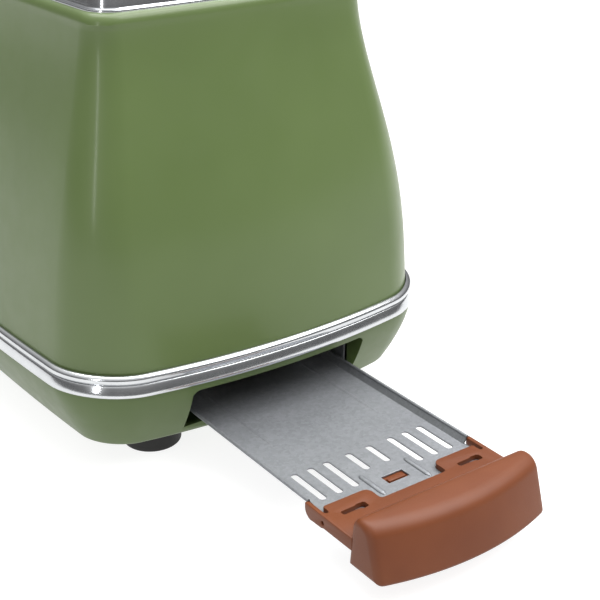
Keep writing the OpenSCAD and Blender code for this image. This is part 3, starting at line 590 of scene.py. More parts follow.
def base_level(t, out, z):
    d = 1 + base_taper * (1 - t) ** 1.35 + (2 * (1 - t / 0.08) ** 2 if t < 0.08 else 0)
    return ring(band_a - d + out, band_b - d + out, mix(16, corner_r - 1, t) + out,
                mix(9, end_bow, t), mix(5.5, side_bow, t), z)


def base_loft(name, out, low_t, top_z, floor=None):
    steps = [t for t in (0, 0.008, 0.016, 0.025, 0.035, 0.05, 0.065, 0.08) if t >= low_t]
    steps += [mix(0.08, 1, i / 26) for i in range(1, 27)]
    levels = [base_level(t, out, mix(foot_z, band_z, t)) for t in steps]
    if floor:
        levels[0][:, 2] = floor
        levels = [level for level in levels if level[0, 2] <= floor or level[0, 2] > floor + 0.3]
    if top_z > band_z:
        levels.append(base_level(1, out, top_z))
    return loft(name, levels)


handle_low, handle_high = box_mm("tray_handle")
tray_low, tray_high = box_mm("crumb_tray")
tray_a = tray_high[0]
tray_z = tray_low[2]
pocket_a = tray_a + 3.5
pocket_top, pocket_r = band_z - 3, 3.5
pocket_y = -(band_b - 0.85 - base_taper)
sill_z = tray_z - 3.2
outside_y = -170            # beyond the tray end, where cutting tools start


def pocket_shape(grow=0.0):
    """The recess seen from the tray end: square below, with round upper corners."""
    a, top = pocket_a + grow, pocket_top + grow
    shape = [(-a, -5), (a, -5)]
    shape += round_corner((a - pocket_r, top - pocket_r), pocket_r, 0, 90)
    shape += round_corner((-a + pocket_r, top - pocket_r), pocket_r, 90, 180)
    return np.array(shape)


def base():
    """The moulded base: a bowl with the grip's recess and the tray's doorway in its tray end."""
    bowl = base_loft("base_moulded", 0, 0, band_z)
    hollow = base_loft("hollow_tool", -base_t, 0.08, band_z + 1, floor=foot_z + base_t)
    combine(bowl, [hollow])
    housing = base_loft("housing", 0, 0, band_z)
    keep = prism("keep_tool", pocket_shape(base_t), outside_y, pocket_y + base_t, axis="y")
    combine(housing, [keep], "INTERSECT")
    combine(bowl, [housing], "UNION")
    doorway = block("doorway_tool", (-pocket_a, outside_y, sill_z),
                    (pocket_a, pocket_y + base_t + 1, pocket_top - 2))
    window = block("window_tool", (-56, -84, 0), (56, 84, foot_z + base_t + 1))
    recess = prism("recess_tool", pocket_shape(), outside_y, pocket_y, axis="y")
    combine(bowl, [recess, doorway, window])
    return place(bowl, "root", ["base"], base_olive)


def sweep_round_rect(name, centre, w, l, r, section, arc=12, flat=10):
    """A lip swept round a rectangle with round corners. The section is (outward, height) pairs."""
    rings = []
    for out, height in section:
        level = np.column_stack([outline(w / 2 + out, l / 2 + out, max(r + out, 0.1), arc, flat),
                                 np.full(4 * (arc + flat), height)])
        rings.append(level + np.array([centre[0], centre[1], 0]))
    return loft(name, rings, closed=True)


bread_w, bread_l, bread_r = 32.0, 150.0, 6.0
liner_low, liner_high = box_mm("slot_liner_right")
bread_x = (liner_low[0] + liner_high[0]) / 2


def top_deck():
    """The pressed deck: a thin lip on the rim, a leaning wall, a round edge and two rolled slots."""
    lip_d, wall_d, lean_d, round_r = 0.2, 2.4, 1.4, 3.4
    wall_top = deck_z - round_r
    lip_top = rim_z + 0.8

    def level(d, z):
        return ring(land_a - d, land_b - d, max(2, rim_corner_r - d), rim_end_bow, rim_side_bow, z)

    section = [(lip_d, rim_z), (lip_d, lip_top - 0.3), (lip_d + 0.1, lip_top - 0.08),
               (lip_d + 0.3, lip_top)]
    section += [(wall_d - 0.6, lip_top), (wall_d - 0.25, lip_top + 0.08), (wall_d - 0.05, lip_top + 0.35)]
    section += [(mix(wall_d, wall_d + lean_d, i / 6), mix(lip_top + 0.7, wall_top, i / 6))
                for i in range(7)]
    section += [(wall_d + lean_d + round_r * (1 - math.cos(t)), wall_top + round_r * math.sin(t))
                for t in np.linspace(0, math.pi / 2, 10)[1:]]
    deck = loft("top_deck_chromed", [level(d, z) for d, z in section])
    hollow = loft("deck_tool", [
        level(wall_d + deck_t, rim_z - 1), level(wall_d + deck_t, lip_top),
        level(wall_d + lean_d + deck_t, wall_top),
        level(wall_d + lean_d + deck_t + 1, deck_z - deck_t - 1),
        level(wall_d + lean_d + round_r, deck_z - deck_t)])
    roll = 2.2
    tools = [hollow]
    for side in (-1, 1):
        shape = outline(bread_w / 2 + roll, bread_l / 2 + roll, bread_r + roll, 12, 4)
        shape[:, 0] += side * bread_x
        tools.append(prism("slot_tool", shape, deck_z - 8, deck_z + 8))
    combine(deck, tools)
    lips = []
    section = [(roll * (1 - math.sin(t)), deck_z - roll * (1 - math.cos(t)))
               for t in np.linspace(0, math.pi / 2, 9)]
    section += [(0, liner_high[2]), (0.9, liner_high[2]), (0.9, deck_z - roll), (roll, deck_z - 0.9)]
    for side in (-1, 1):
        lip = sweep_round_rect("slot_lip", (side * bread_x, 0), bread_w, bread_l, bread_r, section[::-1])
        lips.append(clean(lip))
    whole = join("top_deck_chromed", [deck] + lips)
    return place(whole, "root", ["top_deck"], chrome)


# ---------------------------------------------------------------------------
# Geometry Nodes for what repeats
# ---------------------------------------------------------------------------

TREE_INPUTS = {"Geometry": "Geometry", "Count": "Int", "Step": "Vector", "Centre": "Vector",
               "Turn": "Vector", "Finish": "Material"}


def repeat(piece, count, material, step=(0, 0, 0), centre=(0, 0, 0), turn=(0, 0, 0)):
    """Repeats a piece by Geometry Nodes: each copy moves on by step, in millimetres, and turns on by
    turn, in radians, about the centre. The copies come back as one plain mesh."""
    tree = bpy.data.node_groups.new("repeat_" + piece.name, "GeometryNodeTree")
    sockets = {label: tree.interface.new_socket(label, in_out="INPUT", socket_type="NodeSocket" + kind)
               for label, kind in TREE_INPUTS.items()}
    tree.interface.new_socket("Result", in_out="OUTPUT", socket_type="NodeSocketGeometry")
    given = add(tree, "NodeGroupInput").outputs
    away = add(tree, "ShaderNodeVectorMath", {0: given["Centre"], "Scale": -1.0}, operation="SCALE")
    unit = add(tree, "GeometryNodeTransform", {
        "Geometry": given["Geometry"], "Translation": away.outputs[0]})
    points = add(tree, "GeometryNodePoints", {"Count": given["Count"], "Position": given["Centre"]})
    index = add(tree, "GeometryNodeInputIndex").outputs[0]
    shift = add(tree, "ShaderNodeVectorMath", {0: given["Step"], "Scale": index}, operation="SCALE")
    moved = add(tree, "GeometryNodeSetPosition", {
        "Geometry": points.outputs[0], "Offset": shift.outputs[0]})
    angle = add(tree, "ShaderNodeVectorMath", {0: given["Turn"], "Scale": index}, operation="SCALE")
    copies = add(tree, "GeometryNodeInstanceOnPoints", {
        "Points": moved.outputs["Geometry"], "Instance": unit.outputs["Geometry"],
        "Rotation": angle.outputs[0]})
    real = add(tree, "GeometryNodeRealizeInstances", {"Geometry": copies.outputs["Instances"]})
    dressed = add(tree, "GeometryNodeSetMaterial", {
        "Geometry": real.outputs["Geometry"], "Material": given["Finish"]})
    add(tree, "NodeGroupOutput", {"Result": dressed.outputs["Geometry"]})
    modifier = piece.modifiers.new("repeat", "NODES")
    modifier.node_group = tree
    values = {"Count": count, "Step": [v * MM for v in step], "Centre": [v * MM for v in centre],
              "Turn": [float(v) for v in turn], "Finish": material}
    for label, value in values.items():
        modifier[sockets[label].identifier] = value
    return bake(piece)


# ---------------------------------------------------------------------------
# Crumb tray and its handle
# ---------------------------------------------------------------------------

tray_t = 0.8
tray_lean = 2.0
hem_r = 0.7
rib_x = 11.0
grip_d = 25.0
grip_y = handle_low[1] + grip_d
grip_a = handle_high[0]
grip_z, grip_top = handle_low[2], handle_high[2]
ear_reach = handle_high[1] - grip_y
seat_z = tray_z + tray_t
plate_top = seat_z + 2.3
tab_in, tab_out = 15.8, grip_a - 3.6


def slot_tool(x, y0, y1, width, low=0.0, high=40.0):
    """A round-ended slot along Y."""
    r = width / 2
    shape = round_corner((x, y1 - r), r, 0, 180, 16) + round_corner((x, y0 + r), r, 180, 360, 16)
    return prism("slot_tool", np.array(shape), low, high)


def ridge(name, x, y0, y1, z, half, height, taper=2.0):
    """A pressed rib along Y with a half-round top and sloping ends."""
    rings = []
    for y in np.concatenate([np.linspace(y0, y0 + taper, 5), np.linspace(y1 - taper, y1, 5)]):
        near_end = min(y - y0, y1 - y) / taper
        size = 0.12 + 0.88 * math.sin(math.pi / 2 * min(1, near_end))
        arc = [(x + half * size * math.cos(t), y, z + height * size * math.sin(t))
               for t in np.linspace(0, math.pi, 9)]
        rings.append(np.array(arc + [(x - half * size, y, z - 0.2), (x + half * size, y, z - 0.2)]))
    return clean(loft(name, rings), 60)


panel_x = 25                # raised lines on the tray's floor
tray_bend = 1.2             # outer radius where a side turns up from the floor


def tray_wall():
    """One side of the tray as (x, z) points from its foot on the floor to the rolled hem."""
    bend_x, bend_z = tray_a - tray_lean - tray_bend, tray_z + tray_bend
    bend_in = tray_bend - tray_t
    top_x, top_z = tray_a - hem_r, tray_high[2] - hem_r
    outer = [(bend_x - 0.4, tray_z + 0.06)]
    outer += [(bend_x + tray_bend * math.sin(t), bend_z - tray_bend * math.cos(t))
              for t in np.linspace(0, math.radians(65), 7)]
    outer.append((top_x + 0.35, top_z))
    inner = [(top_x - 0.4, top_z)]
    inner += [(bend_x + bend_in * math.sin(t), bend_z - bend_in * math.cos(t))
              for t in np.linspace(math.radians(65), 0, 7)]
    inner.append((bend_x - 0.4, tray_z + tray_t - 0.06))
    return outer + inner


def crumb_tray():
    """The tray: a pressed sheet with leaning sides, a rolled hem, vents, ribs and two raised lines."""
    front, back = tray_low[1], tray_high[1]
    side_front = grip_y + ear_reach - 0.5
    floor_a = tray_a - tray_lean - tray_bend
    sheet = block("crumb_tray_pressed", (-floor_a, front, tray_z), (floor_a, back - 0.4, seat_z))
    vent_front, vent_l, short_l, vent_w = grip_y + 25, 20.7, 13.7, 3.0
    tools = []
    for side in (-1, 1):
        for i in range(3):
            x = side * mix(rib_x + 4.8, tray_a - 8.55, i / 2)
            tools.append(slot_tool(x, vent_front, vent_front + vent_l, vent_w))
        tools.append(slot_tool(side * 5, vent_front + vent_l - short_l, vent_front + vent_l, vent_w))
    tools.append(block("catch_tool", (-5, grip_y + 19.5, 0), (5, grip_y + 24.5, 40)))
    combine(sheet, tools)
    parts = [bevelled(sheet, 0.12, 1)]
    wall = tray_wall()
    hem = [(tray_a - hem_r + hem_r * math.cos(t), tray_high[2] - hem_r + hem_r * math.sin(t))
           for t in np.linspace(0, 2 * math.pi, 20, endpoint=False)]
    lip = [(floor_a - 0.4, tray_z + 0.06), (floor_a + 0.2, tray_z), (tray_a - tray_lean, tray_z),
           (tray_a - tray_lean, seat_z), (floor_a + 0.2, seat_z), (floor_a - 0.4, seat_z - 0.06)]
    for side in (-1, 1):
        for name, shape, start, end in (("side", wall, side_front, back), ("hem", hem, side_front, back),
                                        ("lip", lip, front, side_front)):
            turned_shape = np.array([(side * x, z) for x, z in shape])
            parts.append(clean(prism(name, turned_shape, start, end, axis="y")))
    back_a, back_top = tray_a - hem_r, tray_high[2] - hem_r
    back_wall = [(-back_a, seat_z), (back_a, seat_z), (back_a, back_top), (-back_a, back_top)]
    parts.append(clean(prism("back_wall", np.array(back_wall), back - tray_t, back, axis="y")))
    for x in (-rib_x, rib_x):
        parts.append(ridge("rib", x, grip_y + 14.2, grip_y + 30.2, seat_z, 1.25, 0.75))
    for x in (-panel_x, panel_x):
        parts.append(ridge("panel_edge", x, grip_y + 62, back - 12, seat_z, 0.8, 0.22, 14))
    return place(join("crumb_tray_pressed", parts), "tray", ["crumb_tray"], zinc)


def filleted(corners, radii, inset, steps=7):
    """A closed outline of (u, v) points: each corner moved in by inset and rounded by its radius less
    that, with the same number of points at any inset."""
    count = len(corners)
    corners = [np.array(c, float) for c in corners]
    normals = []
    for k in range(count):
        along = corners[(k + 1) % count] - corners[k]
        along /= np.linalg.norm(along)
        normals.append(np.array([-along[1], along[0]]))
    points = []
    for k in range(count):
        n0, n1 = normals[k - 1], normals[k]
        offset = np.linalg.solve(np.array([n0, n1]), np.array([inset, inset]))
        corner = corners[k] + offset
        r = max(radii[k] - inset, 0.05)
        centre = corner + np.linalg.solve(np.array([n0, n1]), np.array([r, r]))
        start = math.atan2(-n0[1], -n0[0])
        sweep = (math.atan2(-n1[1], -n1[0]) - start + math.pi) % (2 * math.pi) - math.pi
        turns = [start + sweep * i / steps for i in range(steps + 1)]
        points += [centre + r * np.array([math.cos(t), math.sin(t)]) for t in turns]
    return np.array(points)


def rounded_bar(name, section_at, half, edge_r, steps, edge_steps=6):
    """A bar along X whose outline is section_at(x, inset), with its ends' edges rounded."""
    turns = [math.pi / 2 * i / edge_steps for i in range(edge_steps, 0, -1)]
    end = [(half - edge_r * (1 - math.sin(t)), edge_r * (1 - math.cos(t))) for t in turns]
    inner = [(x, 0.0) for x in np.linspace(half - edge_r, -half + edge_r, steps)]
    rings = []
    for x, inset in end + inner + [(-x, d) for x, d in end[::-1]]:
        flat = section_at(x, inset)
        rings.append(np.column_stack([np.full(len(flat), x), flat]))
    return clean(loft(name, rings), 50)


def grip_section(x, inset):
    """The grip's outline as (y, z) points: a back that leans, a round top and a front that flares."""
    radius, flare, back_lean = 123.0, 6.5, 2.6
    front = grip_y - grip_d + radius - math.sqrt(radius ** 2 - x ** 2)
    corners = [(grip_y - 0.4, grip_z), (grip_y - back_lean, grip_top),
               (front + flare, grip_top), (front, grip_z)]
    return filleted(corners, (1.4, 4.6, 6.4, 1.4), inset)


def handle_outline():
    """The handle's plate seen from above: a centre edge between two tabs, and a groove beside each ear."""
    half = [(tab_in - 1.2, grip_y + 11)]
    half += [(tab_in - 1.2 + 1.2 * math.sin(t), grip_y + 12.2 - 1.2 * math.cos(t))
             for t in np.linspace(0, QUARTER_TURN, 4)][1:]
    half += [(tab_in + 3 - 3 * math.cos(t), grip_y + 16 + 3 * math.sin(t))
             for t in np.linspace(0, QUARTER_TURN, 8)]
    half += [(tab_out - 0.6, grip_y + 19), (tab_out, grip_y + 18.4)]
    half += [(tab_out + 0.9 - 0.9 * math.cos(t), grip_y + 15.6 - 0.9 * math.sin(t))
             for t in np.linspace(0, math.pi, 7)]
    half += [(grip_a - 0.9, grip_y + 15.4), (grip_a - 0.9, grip_y - 5)]
    return np.array([(-x, y) for x, y in half[::-1]] + half)


def window_tool(side):
    """A snap window: a narrow slot with a wider pocket at its right-hand end."""
    x0, x1, y0, y1, step = tab_in + 6.5, tab_out - 3.1, grip_y + 10.3, grip_y + 12.6, 0.7
    if side < 0:
        x0, x1 = -x1, -x0
    wide = x1 - 3.6
    shape = [(x0 + 0.5, y0), (wide, y0), (wide + 0.7, y0 - step), (x1 - 0.6, y0 - step), (x1, y0),
             (x1, y1 - 0.2), (x1 - 0.8, y1 + 0.5), (wide, y1 + 0.5), (wide - 0.8, y1), (x0 + 0.5, y1),
             (x0, y1 - 0.5), (x0, y0 + 0.5)]
    return prism("window", np.array(shape), 0, 60)


def tray_handle():
    """The moulded handle: a round-topped grip, a thin plate with tabs and windows, and side ears."""
    grip = rounded_bar("tray_handle_moulded", grip_section, grip_a, 2.6, 49)
    plate = prism("plate", handle_outline(), seat_z, plate_top)
    combine(plate, [window_tool(-1), window_tool(1)])
    parts = [grip, bevelled(plate, 0.35, 3)]
    ear_top = plate_top + 0.02
    ear = [(grip_y - 3, ear_top), (grip_y - 3, seat_z - 3.0), (grip_y + 13.5, seat_z - 3.0),
           (grip_y + 15, seat_z - 3.5), (grip_y + ear_reach - 5, seat_z - 3.6)]
    ear += round_corner((grip_y + ear_reach - 4.2, seat_z + 0.4), 4.2, -80, 0, 8)
    ear += [(grip_y + ear_reach, ear_top)]
    for side in (-1, 1):
        low, high = sorted((side * (grip_a - 1.8), side * grip_a))
        cheek = clean(prism("ear", np.array(ear), low, high, axis="x"))
        hole = rod_x_tool(side * grip_a, grip_y + 14.2, seat_z - 0.9, 0.8)
        combine(cheek, [hole])
        parts.append(bevelled(cheek, 0.4, 3))
    tongue = block("tongue", (-7, grip_y - 3, tray_z - 2.4), (7, grip_y + 25, tray_z - 0.1))
    catch = block("catch", (-4, grip_y + 20.5, tray_z - 1), (4, grip_y + 22.6, seat_z - 0.1))
    parts += [bevelled(tongue, 0.3), bevelled(catch, 0.25)]
    return place(join("tray_handle_moulded", parts), "tray", ["tray_handle"], tan)


def rod_x_tool(x, y, z, radius, reach=1.0, sides=24):
    """A short rod along X, centred on a point."""
    return prism("rod_tool", circle(y, z, radius, sides), x - reach, x + reach, axis="x")


# ---------------------------------------------------------------------------
# Feet, lever, knob, buttons and cord gland
# ---------------------------------------------------------------------------


def foot(node):
    """A turned rubber foot with a dished sole and a grip rib round its side."""
    low, high = box_mm(node)
    centre = ((low[0] + high[0]) / 2, (low[1] + high[1]) / 2, 0)
    r = (high[0] - low[0]) / 2
    profile = [(0, 0.8), (r - 4, 0.8), (r - 3.2, 0), (r - 1.8, 0)]
    profile += round_corner((r - 1.5, 1.5), 1.5, -80, 0)
    profile += [(r, foot_z - 3.4), (r - 0.5, foot_z - 2.9), (r - 0.5, foot_z - 2.3), (r, foot_z - 1.8)]
    profile += round_corner((r - 0.8, foot_z - 0.8), 0.8, 0, 90)
    profile += [(3, foot_z), (3, high[2] - 0.5), (2.5, high[2]), (0, high[2])]
    made = turned(node + "_moulded", profile, centre, axis="z", steps=72)
    return place(made, "root", [node], rubber)


def lever_knob():
    """The lever's bar: a soft oblong section with rounded ends, hollow where the arm goes in."""
    low, high = box_mm("lever_knob")

    def section(x, inset):
        corners = [(high[1], low[2]), (high[1], high[2]), (low[1], high[2]), (low[1], low[2])]
        return filleted(corners, (5.5, 5.5, 5.5, 5.5), inset)

    bar = rounded_bar("lever_knob_moulded", section, high[0], 3.5, 9)
    arm_low, arm_high = box_mm("lever_arm")
    socket = block("socket_tool", (arm_low[0] - 0.1, low[1] - 5, arm_low[2] - 0.1),
                   (arm_high[0] + 0.1, arm_high[1] + 0.05, arm_high[2] + 0.1))
    combine(bar, [socket], smooth_below=50)
    return place(bar, "carriage", ["lever_knob"], tan)


def lever_slot_trim():
    """A pressed frame round the lever's slot that follows the lean of the wall."""
    half = (slot_high - slot_low) / 2
    mid = (slot_high + slot_low) / 2
    section = [(0.0, 0.1), (0.0, 0.6), (0.35, 0.85), (trim_edge - 1.2, 0.85), (trim_edge - 0.4, 0.6),
               (trim_edge - 0.05, 0.1)]
    rings = []
    for out, height in section:
        p = outline(slot_w / 2 + out, half + out, 1.2 + out, 8, 24)
        y = [wall_y(x, mid + z) + height for x, z in p]
        rings.append(np.column_stack([p[:, 0], y, mid + p[:, 1]]))
    trim = clean(loft("lever_slot_trim_pressed", rings, closed=True), 50)
    return place(trim, "root", ["lever_slot_trim"], bezel_chrome)


def browning_knob():
    """The turned knob: a dished face, a pointer rib and a fluted grip, whose flutes repeat."""
    front, back = knob_high[1], knob_low[1]
    core = knob_r - 0.7
    profile = [(0, back), (core, back), (core, front - 2.2)]
    profile += round_corner((core - 1.8, front - 1.8), 1.8, 0, 90)
    profile += [(core - 3.4, front), (core - 4.2, front - 0.5), (core - 5, front - 1.1), (0, front - 1.4)]
    parts = [turned("browning_knob_moulded", profile, (0, 0, knob_z), steps=96)]
    flute = rod_tool("flute", (core, back + 0.4, knob_z), 0.68, front - back - 3.4, 10)
    count = 36
    parts.append(repeat(flute, count, tan, centre=(0, 0, knob_z), turn=(0, 2 * math.pi / count, 0)))
    pointer = block("pointer", (-0.9, front - 1.9, knob_z + 2), (0.9, front - 0.25, knob_z + core - 3.6))
    parts.append(bevelled(pointer, 0.4, 3))
    knob = join("browning_knob_moulded", parts)
    return place(knob, "browning", ["browning_knob"], tan)


def tube_profile(inner, outer, low, high, edge):
    """A turned tube's section, closed on itself, with round outer edges at the high end."""
    profile = [(inner, low), (outer, low), (outer, high - edge)]
    profile += round_corner((outer - edge, high - edge), edge, 0, 90)[1:]
    profile += round_corner((inner + edge, high - edge), edge, 90, 180)
    return profile + [(inner, low)]


def knob_ring():
    """The bright ring that the knob turns in."""
    profile = tube_profile(knob_r + 0.6, ring_r, ring_low[1], ring_high[1], 0.8)
    return place(turned("knob_ring_turned", profile, (0, 0, knob_z), steps=120), "root", ["knob_ring"],
                 bezel_chrome)


def button(label):
    """A push button: a domed cap with a turned-in rim, on a stem."""
    x, z, r, front = buttons[label]
    back = box_mm("button_" + label)[0][1]
    cap_back = front - 9
    profile = [(0, back), (2, back), (2, cap_back), (r, cap_back), (r, front - 1.5)]
    profile += round_corner((r - 0.8, front - 1.5), 0.8, 0, 70)[1:]
    profile += [(r - 1.4, front - 0.7), (r - 2, front - 0.35), (r - 3, front - 0.1), (0, front)]
    cap = turned("button_%s_domed" % label, profile, (x, 0, z), steps=64)
    return place(cap, label, ["button_" + label], bezel_chrome)


def button_rings():
    """The bezel round each button, each as far out as the wall is there."""
    parts = []
    for x, z, r, front in buttons.values():
        y = wall_y(x, z)
        profile = tube_profile(r + 0.2, bezel_r, y - 4, y + 2, 0.6)
        parts.append(turned("bezel", profile, (x, 0, z), steps=64))
    return place(join("button_rings_turned", parts), "root", ["button_rings"], bezel_chrome)


def cord_gland():
    """The ribbed sleeve that the mains lead comes out of."""
    low, high = box_mm("cord_gland")
    x, z, r = (low[0] + high[0]) / 2, (low[2] + high[2]) / 2, (high[0] - low[0]) / 2
    profile = [(3.3, low[1]), (r, low[1]), (r, low[1] + 8)]
    for k in range(4):
        y = low[1] + 8.6 + k * 1.6
        profile += [(r - 0.25 * k, y), (r - 0.25 * k, y + 0.7), (r - 0.8 - 0.25 * k, y + 0.9),
                    (r - 0.8 - 0.25 * k, y + 1.4)]
    profile += [(4.2, high[1] - 0.2), (4.0, high[1]), (3.3, high[1]), (3.3, low[1])]
    return place(turned("cord_gland_moulded", profile, (x, 0, z), steps=64, smooth_below=25), "root",
                 ["cord_gland"], rubber)


# ---------------------------------------------------------------------------
# Wires, ribbons and screws, which repeat
# ---------------------------------------------------------------------------


def wire(name, start, end, radius, sides=12):
    """A straight wire with domed ends."""
    start, end = np.array(start, float), np.array(end, float)
    axis = int(np.argmax(np.abs(end - start)))
    length = abs(end[axis] - start[axis])
    nose = [(radius * math.sin(t), radius * (1 - math.cos(t))) for t in (0, 0.5, 1.0, QUARTER_TURN)]
    profile = [(r, h) for r, h in nose] + [(r, length - h) for r, h in nose[::-1]]
    return turned(name, profile, np.minimum(start, end), axis="xyz"[axis], steps=sides, smooth_below=60)


wire_pitch = 14.0


def guard(side_name):
    """A bread guard: upright wires on two cross pins that run in the chassis plates."""
    node = "guard_" + side_name
    low, high = box_mm(node)
    x = (low[0] + high[0]) / 2
    count = 2 * int((bread_l - 10) / wire_pitch / 2) + 1
    first = -(count - 1) / 2 * wire_pitch
    upright = wire("upright", (x, first, low[2]), (x, first, high[2]), 0.9)
    parts = [repeat(upright, count, bright_wire, step=(0, wire_pitch, 0))]
    for z in (low[2] + 4, high[2] - 4):
        parts.append(wire("pin", (x, low[1], z), (x, high[1], z), 1.25, 16))
    return place(join(node + "_wires", parts), node, [node], bright_wire)


def bread_rack(side_name):
    """A bread rack: a pressed rail with cross wires."""
    node = "bread_rack_" + side_name
    low, high = box_mm(node)
    x = (low[0] + high[0]) / 2
    mid = (low[2] + high[2]) / 2
    rail = bevelled(block("rail", (x - 1, low[1], low[2]), (x + 1, high[1], high[2])), 0.3)
    count = 2 * int((bread_l - 10) / wire_pitch / 2)
    first = -(count - 1) / 2 * wire_pitch
    cross = wire("cross", (low[0], first, mid + 1), (high[0], first, mid + 1), 1.0)
    wires = repeat(cross, count, bright_wire, step=(0, wire_pitch, 0))
    return place(join(node + "_wires", [rail, wires]), "carriage", [node], bright_wire)


def heating_wire(side_name):
    """The heating ribbon: flat turns across the card, joined at alternate edges."""
    node = "heating_wire_" + side_name
    low, high = box_mm(node)
    x = (low[0] + high[0]) / 2
    pitch, ribbon_h, ribbon_t = 10.0, 1.5, 0.4
    half = (high[0] - low[0]) / 2
    z = low[2]
    strips = []
    for side in (-1, 1):
        inner, outer = sorted((x + side * (half - ribbon_t), x + side * half))
        strips.append(block("face", (inner, low[1], z), (outer, high[1], z + ribbon_h)))
    for y0, y1 in ((low[1], low[1] + ribbon_t), (high[1] - ribbon_t, high[1])):
        strips.append(block("edge", (x - half, y0, z), (x + half, y1, z + ribbon_h)))
    count = int(round((high[2] - low[2] - ribbon_h) / pitch)) + 1
    turns = repeat(join("turn", strips), count, ribbon, step=(0, 0, pitch))
    parts = [turns]
    for first, y0, y1 in ((0, high[1] - ribbon_t, high[1]), (1, low[1], low[1] + ribbon_t)):
        riser = block("riser", (x - half, y0, z + first * pitch + ribbon_h / 2),
                      (x + half, y1, z + (first + 1) * pitch + ribbon_h / 2))
        risers = (count - first) // 2
        parts.append(repeat(riser, risers, ribbon, step=(0, 0, 2 * pitch)))
    return place(join(node + "_ribbon", parts), "root", [node], ribbon)


def screws(node, material):
    """Cross-head screws, the same at each corner."""
    low, high = box_mm(node)
    head_r, head_h, shank_r = 3.0, 1.8, 1.5
    x, y = low[0] + head_r, low[1] + head_r
    top = high[2]
    profile = [(0, low[2]), (shank_r - 0.4, low[2]), (shank_r, low[2] + 0.4), (shank_r, top - head_h),
               (head_r, top - head_h), (head_r, top - 0.9), (head_r - 0.5, top - 0.35),
               (head_r - 1.3, top - 0.08), (0, top)]
    screw = turned("screw", profile, (x, y, 0), axis="z", steps=32)
    arm_l, arm_w = 1.5, 0.28
    arms = [block("cross_tool", (x - w, y - d, top - 0.9), (x + w, y + d, top + 1))
            for w, d in ((arm_l, arm_w), (arm_w, arm_l))]
    combine(screw, arms)
    row = repeat(screw, 2, material, step=(high[0] - low[0] - 2 * head_r, 0, 0))
    both = repeat(row, 2, material, step=(0, high[1] - low[1] - 2 * head_r, 0))
    both.name = node + "_cross_head"
    return place(both, "root", [node], material)


def vented_plate():
    """The plate under the tray, with a row of air slots that repeat."""
    low, high = box_mm("base_plate")
    shape = outline(high[0], high[1], 6, 8, 2)
    plate = prism("base_plate_pressed", shape, low[2], high[2])
    slot_x, first_y, slot_r, count, pitch = 27.4, -60, 2.4, 7, 20
    shape = round_corner((slot_x, first_y), slot_r, -90, 90, 8)
    shape += round_corner((-slot_x, first_y), slot_r, 90, 270, 8)
    slot = prism("slot", np.array(shape), low[2] - 1, high[2] + 1)
    tools = [repeat(slot, count, zinc, step=(0, pitch, 0))]
    screw_high = box_mm("base_screws")[1]
    head_r, hole_r = 3, 1.6
    for sx in (-1, 1):
        for sy in (-1, 1):
            hole = circle(sx * (screw_high[0] - head_r), sy * (screw_high[1] - head_r), hole_r, 24)
            tools.append(prism("hole", hole, low[2] - 1, high[2] + 1))
    combine(plate, tools)
    return place(bevelled(plate, 0.15, 2), "root", ["base_plate"], zinc)


CARRIED_OVER = {
    zinc: ["slot_liner_left", "slot_liner_right", "chassis_top_plate", "chassis_plate_lever_end",
           "chassis_plate_tray_end", "carriage_bracket", "tray_rail_left", "tray_rail_right"],
    mirror_sheet: ["reflector_left", "reflector_right"],
    mica: ["heater_card_left", "heater_card_centre", "heater_card_right"],
    dark_steel: ["latch_plate", "electromagnet"],
    bright_wire: ["guide_rod_left", "guide_rod_right", "lift_spring_left", "lift_spring_right",
                  "lever_arm", "browning_shaft"],
    black_plastic: ["browning_control", "button_switches", "power_switch"],
    solder_mask: ["control_board"],
    white_plastic: ["terminal_block"],
}

for build in (body_shell, chrome_band, base, top_deck, crumb_tray, tray_handle, lever_knob, lever_slot_trim,
              browning_knob, knob_ring, button_rings, cord_gland, vented_plate):
    build()
for end in ("tray_end", "lever_end"):
    for side in ("left", "right"):
        foot("foot_%s_%s" % (end, side))
for label in buttons:
    button(label)
for side in ("left", "right"):
    bread_rack(side)
    for edge in ("outer", "inner"):
        guard("%s_%s" % (side, edge))
for side in ("left", "centre", "right"):
    heating_wire(side)
screws("base_screws", dark_steel)
screws("chassis_screws", bright_wire)
for material, nodes in CARRIED_OVER.items():
    for node in nodes:
        wear(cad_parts[node], material)


# ---------------------------------------------------------------------------
# Floor, light and camera
# ---------------------------------------------------------------------------


def softbox(name, place_at, aim_at, size, power):
    """A rectangular white light, in metres and watts, turned towards a point."""
    light = bpy.data.lights.new(name, "AREA")
    light.shape = "RECTANGLE"
    light.size, light.size_y = size
    light.energy = power
    lamp = bpy.data.objects.new(name, light)
    bpy.context.scene.collection.objects.link(lamp)
    lamp.location = place_at
    lamp.rotation_mode = "QUATERNION"
    lamp.rotation_quaternion = (Vector(aim_at) - Vector(place_at)).to_track_quat("-Z", "Y")


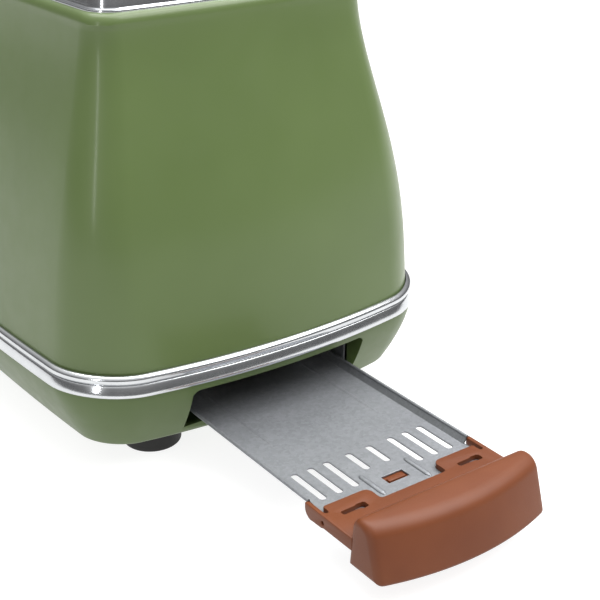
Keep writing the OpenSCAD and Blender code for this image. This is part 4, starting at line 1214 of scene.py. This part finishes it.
def studio():
    """The floor, a room that is brighter overhead, and three soft lights."""
    material, tree, shader, where = finish_named(
        "white_acrylic_light_table", Roughness=0.9, Emission_Color=linear("#ffffff"),
        Emission_Strength=0.86)
    tree.links.new(colours(tree, noise(tree, where, 300), linear("#878786"), linear("#8b8b8a")),
                   shader.inputs["Base Color"])
    reach = 4000
    corners = [(-reach, -reach, 0), (reach, -reach, 0), (reach, reach, 0), (-reach, reach, 0)]
    floor = piece_from("floor", corners, [(0, 1, 2, 3)])
    wear(floor, material)
    world = bpy.data.worlds.new("dim_room_under_a_bright_ceiling")
    bpy.context.scene.world = world
    world.use_nodes = True
    sky = world.node_tree
    height = add(sky, "ShaderNodeSeparateXYZ", {0: add(sky, "ShaderNodeTexCoord").outputs["Generated"]})
    up = add(sky, "ShaderNodeMath", {0: height.outputs["Z"], 1: 0.0}, operation="MAXIMUM").outputs[0]
    risen = add(sky, "ShaderNodeMath", {0: up, 1: 2.0}, operation="POWER").outputs[0]
    level = add(sky, "ShaderNodeMath", {0: risen, 1: 1.7, 2: 0.17}, operation="MULTIPLY_ADD").outputs[0]
    sky.links.new(level, sky.nodes["Background"].inputs["Color"])
    sky.nodes["Background"].inputs["Strength"].default_value = 1.0
    softbox("top_softbox", (0.25, 0.15, 1.5), (0, 0, 0.05), (1.7, 1.4), 36)
    softbox("front_softbox", (0.85, -0.95, 1.5), (0, 0, 0.14), (1.3, 1.0), 25)
    softbox("left_strip", (-1.4, -0.72, 0.62), (0, 0, 0.1), (0.07, 0.8), 3)
    bpy.context.scene.view_settings.view_transform = "Standard"


def camera():
    """The camera, which looks down at the tray end from the left."""
    lens = bpy.data.cameras.new("camera")
    lens.lens = 75.9
    lens.sensor_width = 36
    lens.clip_start, lens.clip_end = 0.01, 20
    viewer = bpy.data.objects.new("camera", lens)
    bpy.context.scene.collection.objects.link(viewer)
    azimuth, elevation = math.radians(-35.61), math.radians(24.60)
    back = Vector((math.sin(azimuth) * math.cos(elevation), -math.cos(azimuth) * math.cos(elevation),
                   math.sin(elevation)))
    viewer.location = Vector((-266.6, -525.2, 279.8)) * MM
    viewer.rotation_mode = "QUATERNION"
    viewer.rotation_quaternion = (-back).to_track_quat("-Z", "Y")
    bpy.context.scene.camera = viewer


studio()
camera()
